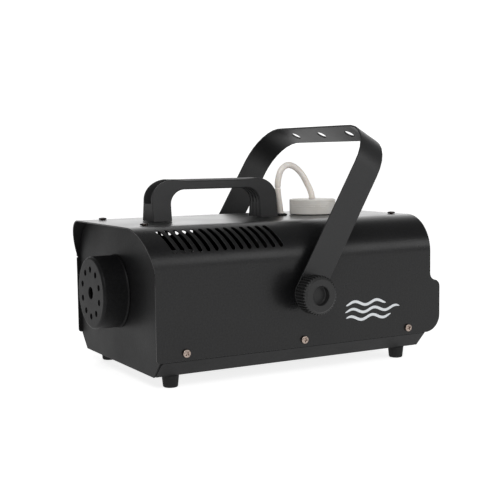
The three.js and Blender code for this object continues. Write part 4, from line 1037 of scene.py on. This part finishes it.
def cap_shape():
    r, low, high = CAP_R, CAP_LOW.z, CAP_HIGH.z
    bore = 4.4
    wall = 2.0
    profile = [(bore, high - wall), (bore, high - 0.3), (bore + 0.3, high), (r - 2.4, high),
               (r - 1.6, high - 0.06), (r - 0.9, high - 0.25), (r - 0.4, high - 0.6), (r - 0.1, high - 1.1)]
    for row in range(4):
        z = high - 1.5 - 1.9 * row
        profile += [(r, z), (r, z - 1.1), (r - 0.16, z - 1.35), (r - 0.16, z - 1.6)]
    profile += [(r, high - 9.3), (r, low + 0.5), (r - 0.5, low), (20.2, low), (19.6, low + 0.6),
                (19.6, high - wall - 1), (18.6, high - wall)]
    return turned(profile, "z", (0, CAP_Y), 144)


HOSE_ROUTE = [
    (72.3, 6, 46),
    (78, 6, 46),
    (86, 12, 56),
    (86, 24, 74),
    (70, 34, 94),
    (36, GROMMET_Y - 3, 110),
    (8, GROMMET_Y - 0.5, 120),
    (0, GROMMET_Y + 0.4, 134),
    (0, GROMMET_Y, 147.4),
    (0, GROMMET_Y - 1.3, 157.9),
    (0, GROMMET_Y - 2.9, 168.4),
    (0, GROMMET_Y - 3.3, 176.3),
    (0, GROMMET_Y - 2.7, 184),
    (0, GROMMET_Y - 0.1, 192.3),
    (0, GROMMET_Y + 3.6, 197),
    (0, GROMMET_Y + 9, 199.3),
    (0, GROMMET_Y + 15.4, 198.2),
    (0, GROMMET_Y + 21.1, 194.7),
    (0, GROMMET_Y + 27.3, 188.4),
    (0, GROMMET_Y + 33.2, 179),
    (0, GROMMET_Y + 37.2, 171.4),
    (0, CAP_Y, CAP_HIGH.z - 0.5),
    (0, CAP_Y + 1.6, 152),
    (0, CAP_Y + 1.8, 130),
    (0, CAP_Y, 80),
    (0, CAP_Y, 34),
]
SLEEVE_TOP = 176.0  # the hose's outer sleeve ends at this height


def hose_shape():
    """The clear hose; a sleeve over its lower length ends in a fine groove."""
    path = smooth_path(HOSE_ROUTE, 16)

    def radius_at(i, radius):
        here = path[i]
        rising = TOP_Z < here.z and here.y < GROMMET_Y + 5
        return radius - 0.5 if rising and abs(here.z - SLEEVE_TOP) < 0.9 else radius
    return swept_tube(path, HOSE_R, 1.9, 28, radius_at)


GROMMET_R = 5.0
GROMMET_RIM_R = 6.8


def grommet_shape():
    low, high = GROMMET_LOW.z, GROMMET_HIGH.z
    top = TOP_Z + 0.3
    rim, waist = GROMMET_RIM_R, GROMMET_R
    profile = [(3.35, low + 0.4), (3.8, low), (rim - 0.6, low), (rim, low + 0.5), (rim, low + 2.0),
               (waist, low + 2.0), (waist, top), (rim - 0.2, top), (rim, top + 0.3), (rim - 0.1, top + 1.0),
               (rim - 0.7, top + 1.6), (rim - 1.6, top + 1.9), (4.6, high), (3.8, high - 0.1),
               (3.35, high - 0.6)]
    return turned(profile, "z", (0, GROMMET_Y), 64)


# ---- feet and screws

def foot_shape(node_name):
    low, high = node_box(node_name)
    x, y = (low.x + high.x) / 2, (low.y + high.y) / 2
    top = high.z
    profile = [(0, 0), (5.6, 0), (6.3, 0.2), (6.8, 0.7), (7.0, 1.4), (8.0, top - 0.9), (8.1, top - 0.4),
               (7.8, top), (0, top)]
    return turned(profile, "z", (x, y), 64)


def screw_shape(head=2.5, r=3.9, length=6.0):
    """Pan head with a cross recess, head on +Z, seat at z = 0."""
    crown = 3.4 * r

    def place(u, v):
        away = min(math.hypot(u, v), r)
        drop = away ** 2 / (2 * crown)
        normal = Vector((u / crown, v / crown, 1)).normalized()
        return Vector((u, v, head - drop)), normal, Vector((1, 0, 0)), Vector((0, 1, 0))

    half, reach, throat = 0.55, 2.35, 0.95
    cross = []
    for quarter in range(4):
        turn = Matrix.Rotation(math.pi / 2 * quarter, 2)
        for x, y in ((reach, -half * 0.8), (reach, half * 0.8), (throat, half), (half, throat)):
            cross.append(tuple(turn @ Vector((x, y))))
    rim = head - r ** 2 / (2 * crown)
    section = shoulder(0.9, 5) + [
        (0, rim - 0.1, 1, 0), (-0.1, rim, 0, -1), (-1.9, rim, 0, -1), (-2.0, rim + 0.1, 1, 0),
        (-2.0, rim + length, 1, 0)]
    return plate(place, circle(0, 0, r, 48), rim + length, pockets=[spaced(cross, 0.9)], profile=section,
                 pocket_depth=1.5)


# ---- rear fittings

FLANGE = 2.0  # thickness of the flanges that rest on the rear panel


def rear_place(y, x=0, z=0):
    """Seen from behind: across is -X, up is Z, depth is towards the front."""
    return flat((x, y, z), (-1, 0, 0), (0, 0, 1))


def round_fitting(node_name):
    """Middle (x, z) and radius of a round fitting, and where it starts and ends along y."""
    low, high = node_box(node_name)
    return (low.x + high.x) / 2, (low.z + high.z) / 2, (high.x - low.x) / 2, low.y, high.y


def box_shape(x0, x1, y0, y1, z0, z1, edge=0.4):
    """A block with rounded edges, facing +Y."""
    return plate(rear_place(y1), rect(-x1, -x0, z0, z1, edge * 1.5), y1 - y0,
                 profile=edge_profile(y1 - y0, edge, edge))


def open_box(x0, x1, y0, y1, z0, z1, hole, depth):
    """A block with a well let into its rear face."""
    return plate(rear_place(y1), rect(-x1, -x0, z0, z1, 1.2), y1 - y0,
                 pockets=[hole], pocket_depth=depth)


def inlet_shape():
    """Mains inlet: flange with round ears, a well with two cut corners, three blades."""
    low, high = node_box("mains_inlet")
    ear, border, wall = 9.0, 3.0, 2.0
    x0, x1, z0, z1 = low.x + ear, high.x - ear, low.z + border, high.z - border
    flange = rounded([(-high.x, low.z, 5), (-low.x, low.z, 5), (-low.x, high.z, 5), (-high.x, high.z, 5)])
    cut = 4.0
    left, right, bottom, top = -x1 + wall, -x0 - wall, z0 + wall, z1 - wall
    well = rounded([(left, bottom, 0.8), (right, bottom, 0.8), (right, top - cut, 0.8),
                    (right - cut, top, 0.8), (left + cut, top, 0.8), (left, top - cut, 0.8)])
    ears = [circle(-x, (z0 + z1) / 2, 1.6) for x in (low.x + ear / 2, high.x - ear / 2)]
    shapes = [plate(rear_place(high.y), flange, FLANGE, holes=[well] + ears,
                    profile=edge_profile(FLANGE, 0.6, 0.2), hole_profile=edge_profile(FLANGE, 0.35, 0.2)),
              open_box(x0, x1, low.y, high.y - FLANGE + 0.2, z0, z1, well, 12.0)]
    for across, up in ((0.0, 2.6), (-6.6, -1.6), (6.6, -1.6)):
        x, z = (x0 + x1) / 2 + across, (z0 + z1) / 2 + up
        shapes.append(box_shape(x - 0.9, x + 0.9, high.y - 14.0, high.y - 3.0, z - 2.2, z + 2.2, 0.3))
    return joined(*shapes)


def switch_frame_shape():
    low, high = node_box("switch_frame")
    border, wall = 2.0, 1.0
    x0, x1, z0, z1 = low.x + border, high.x - border, low.z + border, high.z - border
    well = rect(-x1 + wall, -x0 - wall, z0 + wall, z1 - wall, 0.8)
    flange = rect(-high.x, -low.x, low.z, high.z, 1.6)
    return joined(plate(rear_place(high.y), flange, FLANGE, holes=[well],
                        profile=edge_profile(FLANGE, 0.7, 0.2),
                        hole_profile=edge_profile(FLANGE, 0.4, 0.2)),
                  open_box(x0, x1, low.y, high.y - FLANGE + 0.2, z0, z1, well, 10.0))


def rocker_shape():
    """A two-lobed rocker in its off position, with a raised bar and a ring moulded on."""
    low, high = node_box("power_rocker")
    tilt = math.radians(8)
    pivot_y = REAR_HIGH.y - 2.0
    middle = (low.z + high.z) / 2
    crown, end, half = 3.9, 4.9, 4.2
    outline = [(-3.0, -half + 0.3)]
    for i in range(13):
        z = -half + 2 * half * i / 12
        outline.append((crown + (end - crown) * (z / half) ** 2, z))
    outline.append((-3.0, half - 0.3))
    place = flat((high.x, 0, 0), (0, 1, 0), (0, 0, 1))
    width = high.x - low.x
    body = plate(place, outline, width, profile=edge_profile(width, 0.6, 0.6))
    x = (low.x + high.x) / 2
    bar = box_shape(x - 0.35, x + 0.35, crown - 0.3, crown + 0.65, 1.2, 3.2, 0.15)
    ring = [(0.7, crown - 0.2), (0.7, crown + 0.55), (0.85, crown + 0.65), (1.1, crown + 0.65),
            (1.25, crown + 0.55), (1.25, crown - 0.2)]
    turn = Matrix.Translation((0, pivot_y, middle)) @ Matrix.Rotation(tilt, 4, "X")
    return moved(joined(body, bar, turned(ring, "y", (x, -2.3), 32)), turn)


def fuse_holder_shape():
    x, z, r, front, rear = round_fitting("fuse_holder")
    bore, back = 4.6, rear - FLANGE
    profile = [(bore, front + 0.3), (bore, rear - 0.4), (bore + 0.4, rear), (r - 0.7, rear),
               (r - 0.2, rear - 0.2), (r, rear - 0.7), (r, back), (r - 2.0, back), (r - 2.0, front + 0.5),
               (r - 2.5, front), (bore + 0.3, front)]
    return turned(profile, "y", (x, z), 64)


def fuse_cap_shape():
    """A round cap with a screwdriver slot, on a long shank."""
    x, z, r, front, rear = round_fitting("fuse_cap")
    head, shank = 6.0, 4.2
    section = [(-1.0, 0, 0, 1), (-0.5, 0.15, 0.5, 0.87), (-0.15, 0.5, 0.87, 0.5), (0, 1.0, 1, 0),
               (0, head - 0.3, 1, 0), (-0.3, head, 0, -1), (shank - r, head, 0, -1),
               (shank - r, head + 0.2, 1, 0), (shank - r, rear - front, 1, 0)]
    slot = spaced(rect(-4.2, 4.2, -0.6, 0.6, 0.2), 1.0)
    return plate(rear_place(rear, x, z), circle(0, 0, r, 56), rear - front,
                 pockets=[slot], profile=section, pocket_depth=1.4)


def remote_socket_shape():
    """Round socket for a wired remote: rim, well and five pins."""
    x, z, r, front, rear = round_fitting("remote_socket")
    bore, back, floor = r - 4.0, rear - FLANGE, rear - FLANGE - 6.0
    profile = [(0, floor), (bore - 0.2, floor), (bore, floor + 0.2), (bore, rear - 0.4),
               (bore + 0.4, rear), (r - 0.7, rear), (r - 0.2, rear - 0.2), (r, rear - 0.7), (r, back),
               (bore + 1.0, back), (bore + 1.0, front + 0.3), (bore + 0.7, front), (0, front)]
    shapes = [turned(profile, "y", (x, z), 72)]
    pin = [(0, floor - 0.5), (0.7, floor - 0.5), (0.7, floor + 4.0), (0.4, floor + 4.5), (0, floor + 4.6)]
    for angle in (math.radians(180 + 45 * i) for i in range(5)):
        shapes.append(turned(pin, "y", (x + 4.0 * math.cos(angle), z + 4.0 * math.sin(angle)), 16))
    return joined(*shapes)


# ---- print

PRINT_Y = 84.0
PRINT_Z = 57.0
WAVE = 1.9  # height of the printed waves
WAVE_LENGTH = 26.0


def fog_lines_shape():
    """Three drifting lines printed on the right side, a generic sign for fog."""
    vertices, faces = [], []
    inside, outside = HALF_W - 0.05, HALF_W + 0.06
    count = 60
    for row, (shift, half_length) in enumerate(((-6.0, 24.0), (2.0, 33.0), (-3.0, 27.0))):
        start = len(vertices)
        for i in range(count + 1):
            t = i / count
            y = PRINT_Y + shift + half_length * (2 * t - 1)
            bend = 2 * math.pi * (y - PRINT_Y) / WAVE_LENGTH + 0.6 * row
            z = PRINT_Z + 7.2 * (1 - row) + WAVE * math.sin(bend)
            slope = math.atan(WAVE * 2 * math.pi / WAVE_LENGTH * math.cos(bend))
            half = 1.35 * math.sqrt(max(0.002, 1 - (2 * t - 1) ** 6))
            for x in (inside, outside):
                for sign in (-1, 1):
                    vertices.append(Vector((x, y - sign * half * math.sin(slope),
                                            z + sign * half * math.cos(slope))))
        for i in range(count):
            a, b = start + 4 * i, start + 4 * i + 4
            faces += [(a, a + 1, b + 1, b), (a + 2, b + 2, b + 3, a + 3), (a + 1, a + 3, b + 3, b + 1),
                      (a, b, b + 2, a + 2)]
        end = start + 4 * count
        faces += [(start, start + 2, start + 3, start + 1), (end, end + 1, end + 3, end + 2)]
    return closed_outwards(vertices, faces)


# ---- assembly

make_piece("housing_shell", cover_shape(), "housing_cover", POWDER_COAT)
make_piece("pan", pan_shape(), "base_pan", SHADED_COAT)
make_piece("front_plate", front_panel_shape(), "front_panel", SHADED_COAT)
make_piece("rear_plate", rear_panel_shape(), "rear_panel", POWDER_COAT)
make_piece("nozzle_drum", nozzle_shape(), "nozzle_cover", SHADED_COAT)
make_piece("fog_lines", fog_lines_shape(), "housing_cover", PRINT_WHITE, replaces=False)
make_piece("inlet", inlet_shape(), "mains_inlet", SOCKET_PLASTIC)
make_piece("switch_bezel", switch_frame_shape(), "switch_frame", SOCKET_PLASTIC)
make_piece("rocker", rocker_shape(), "power_rocker", ROCKER_RED)
make_piece("fuse_body", fuse_holder_shape(), "fuse_holder", SOCKET_PLASTIC)
make_piece("fuse_head", fuse_cap_shape(), "fuse_cap", SOCKET_PLASTIC)
make_piece("remote_jack", remote_socket_shape(), "remote_socket", SOCKET_PLASTIC)
make_piece("grip", handle_shape(), "carry_handle", HANDLE_PLASTIC)
make_piece("yoke", yoke_shape(), "tilt_yoke", SATIN_PAINT)
for name, side in SIDES.items():
    make_piece(f"knob_{name}", knob_shape(side), f"clamp_knob_{name}", KNOB_PLASTIC)
    make_piece(f"spacer_{name}", ring_shape(f"yoke_spacer_{name}", 0.8), f"yoke_spacer_{name}",
               BLACK_RUBBER)
    make_piece(f"washer_{name}", ring_shape(f"knob_washer_{name}", 0.2), f"knob_washer_{name}",
               ZINC)
make_piece("cap", cap_shape(), "tank_cap", MILKY)
make_piece("hose", hose_shape(), "fluid_hose", SILICONE)
make_piece("grommet", grommet_shape(), "hose_grommet", BLACK_RUBBER)
for end in ("front", "rear"):
    for name in SIDES:
        make_piece(f"rubber_foot_{end}_{name}", foot_shape(f"foot_{end}_{name}"), f"foot_{end}_{name}",
                   BLACK_RUBBER)
for name, side in SIDES.items():
    for number in (1, 2, 3):
        node_name = f"side_screw_{name}_{number}"
        middle = centre_of(node_name)
        place = (Matrix.Translation((side * (HALF_W + 0.3), middle.y, middle.z))
                 @ Matrix.Rotation(side * math.pi / 2, 4, "Y")
                 @ Matrix.Rotation(math.radians(17 + 31 * number), 4, "Z"))
        make_piece(f"cross_{node_name}", moved(screw_shape(), place), node_name, NICKEL)
for name, middle in zip(TOP_SCREW_NAMES, TOP_SCREWS):
    place = Matrix.Translation((middle.x, middle.y, TOP_Z + 0.3)) @ Matrix.Rotation(0.4, 4, "Z")
    make_piece(f"cross_{name}", moved(screw_shape(head=2.3, r=4.2), place), name,
               BLACK_OXIDE)

CARRIED = {
    DULL_STEEL: ["heat_shield"],
    ZINC: ["heater_bracket_front", "heater_bracket_rear", "pump_bracket", "knob_stud_right",
           "knob_stud_left", "pivot_nut_right", "pivot_nut_left"],
    BRASS: ["nozzle_tip", "fluid_pipe", "pickup_filter", "standoff_front_left", "standoff_front_right",
            "standoff_rear_left", "standoff_rear_right"],
    CAST_ALLOY: ["heater_block", "thermostat", "fluid_pump"],
    TANK_PLASTIC: ["fluid_tank"],
    BOARD_GREEN: ["control_board"],
    COMPONENT: ["board_transformer", "terminal_block"],
}
for material, names in CARRIED.items():
    for name in names:
        slots = frame["nodes"][name].data.materials
        slots.clear()
        slots.append(material)


# ---- stage, lights, camera: lengths here are metres

def make_stage():
    """A pale floor that reaches far enough to meet the white backdrop."""
    mesh = bpy.data.meshes.new("floor")
    reach = 60.0
    mesh.from_pydata([(-reach, -reach, 0), (reach, -reach, 0), (reach, reach, 0), (-reach, reach, 0)], [],
                     [(0, 1, 2, 3)])
    material, _, shader = new_material("pale_floor")
    dial(shader, Base_Color=(0.55, 0.55, 0.55, 1), Roughness=0.9, Specular_IOR_Level=0.1,
         Emission_Color=(1, 1, 1, 1), Emission_Strength=0.82)
    mesh.materials.append(material)
    floor = link(bpy.data.objects.new("floor", mesh))


def softbox(name, place, target, size, power):
    light = bpy.data.lights.new(name, "AREA")
    light.shape = "RECTANGLE"
    light.size, light.size_y = size
    light.energy = power
    lamp = link(bpy.data.objects.new(name, light))
    lamp.location = place
    lamp.rotation_mode = "QUATERNION"
    lamp.rotation_quaternion = (Vector(target) - Vector(place)).to_track_quat("-Z", "Y")


def make_world():
    """A white horizon, brightest behind the machine, under a dim ceiling; the camera sees it as white."""
    world = bpy.data.worlds.new("studio")
    bpy.context.scene.world = world
    world.use_nodes = True
    tree = world.node_tree
    place = tree.nodes.new("ShaderNodeTexCoord")
    split = tree.nodes.new("ShaderNodeSeparateXYZ")
    tree.links.new(place.outputs["Generated"], split.inputs["Vector"])
    join = tree.links.new
    height = ramp(tree, split.outputs["Z"], 0.36, 0.80, 1.0, 0.0)
    away = node(tree, "ShaderNodeVectorMath", operation="DOT_PRODUCT")
    away.inputs[1].default_value = (-0.872, 0.4895, 0.0)
    level = node(tree, "ShaderNodeVectorMath", operation="MULTIPLY")
    level.inputs[1].default_value = (1, 1, 0)
    join(place.outputs["Generated"], level.inputs[0])
    heading = node(tree, "ShaderNodeVectorMath", operation="NORMALIZE")
    join(level.outputs["Vector"], heading.inputs[0])
    join(heading.outputs["Vector"], away.inputs[0])
    around = ramp(tree, away.outputs["Value"], 0.78, 0.95, 0.10, 1.68)
    horizon = node(tree, "ShaderNodeMath", operation="MULTIPLY_ADD")
    ceiling = ramp(tree, split.outputs["Z"], 0.82, 0.95, 0.19, 0.42)
    for value, place_in in zip((height, around, ceiling), horizon.inputs):
        join(value, place_in)
    path = tree.nodes.new("ShaderNodeLightPath")
    backdrop = tree.nodes.new("ShaderNodeMix")
    backdrop.inputs["B"].default_value = 1.2
    join(path.outputs["Is Camera Ray"], backdrop.inputs["Factor"])
    join(horizon.outputs["Value"], backdrop.inputs["A"])
    join(backdrop.outputs["Result"], tree.nodes["Background"].inputs["Strength"])
    tree.nodes["Background"].inputs["Color"].default_value = (1, 1, 1, 1)


def make_camera():
    azimuth, elevation, roll = (math.radians(angle) for angle in (60.69, 5.34, -0.70))
    distance, target = 1.05516, Vector((0, 0.0036, 0.1128))
    back = Vector((math.sin(azimuth) * math.cos(elevation), -math.cos(azimuth) * math.cos(elevation),
                   math.sin(elevation)))
    right = Vector((math.cos(azimuth), math.sin(azimuth), 0))
    up = back.cross(right)
    x_axis = right * math.cos(roll) + up * math.sin(roll)
    y_axis = up * math.cos(roll) - right * math.sin(roll)
    camera = link(bpy.data.objects.new("camera", bpy.data.cameras.new("camera")))
    camera.data.sensor_width = 36
    camera.data.lens = 73.72
    place = target + back * distance
    turn = Matrix((x_axis, y_axis, back)).transposed().to_4x4()
    camera.matrix_world = Matrix.Translation(place) @ turn
    bpy.context.scene.camera = camera


make_stage()
make_world()
softbox("right_box", (1.65, 0.93, 0.68), (0, 0, 0.2), (1.5, 0.55), 6.4)
softbox("key_box", (1.15, -0.85, 1.25), (0, 0, 0.1), (0.8, 0.6), 10.5)
make_camera()
bpy.context.scene.view_settings.view_transform = "Standard"
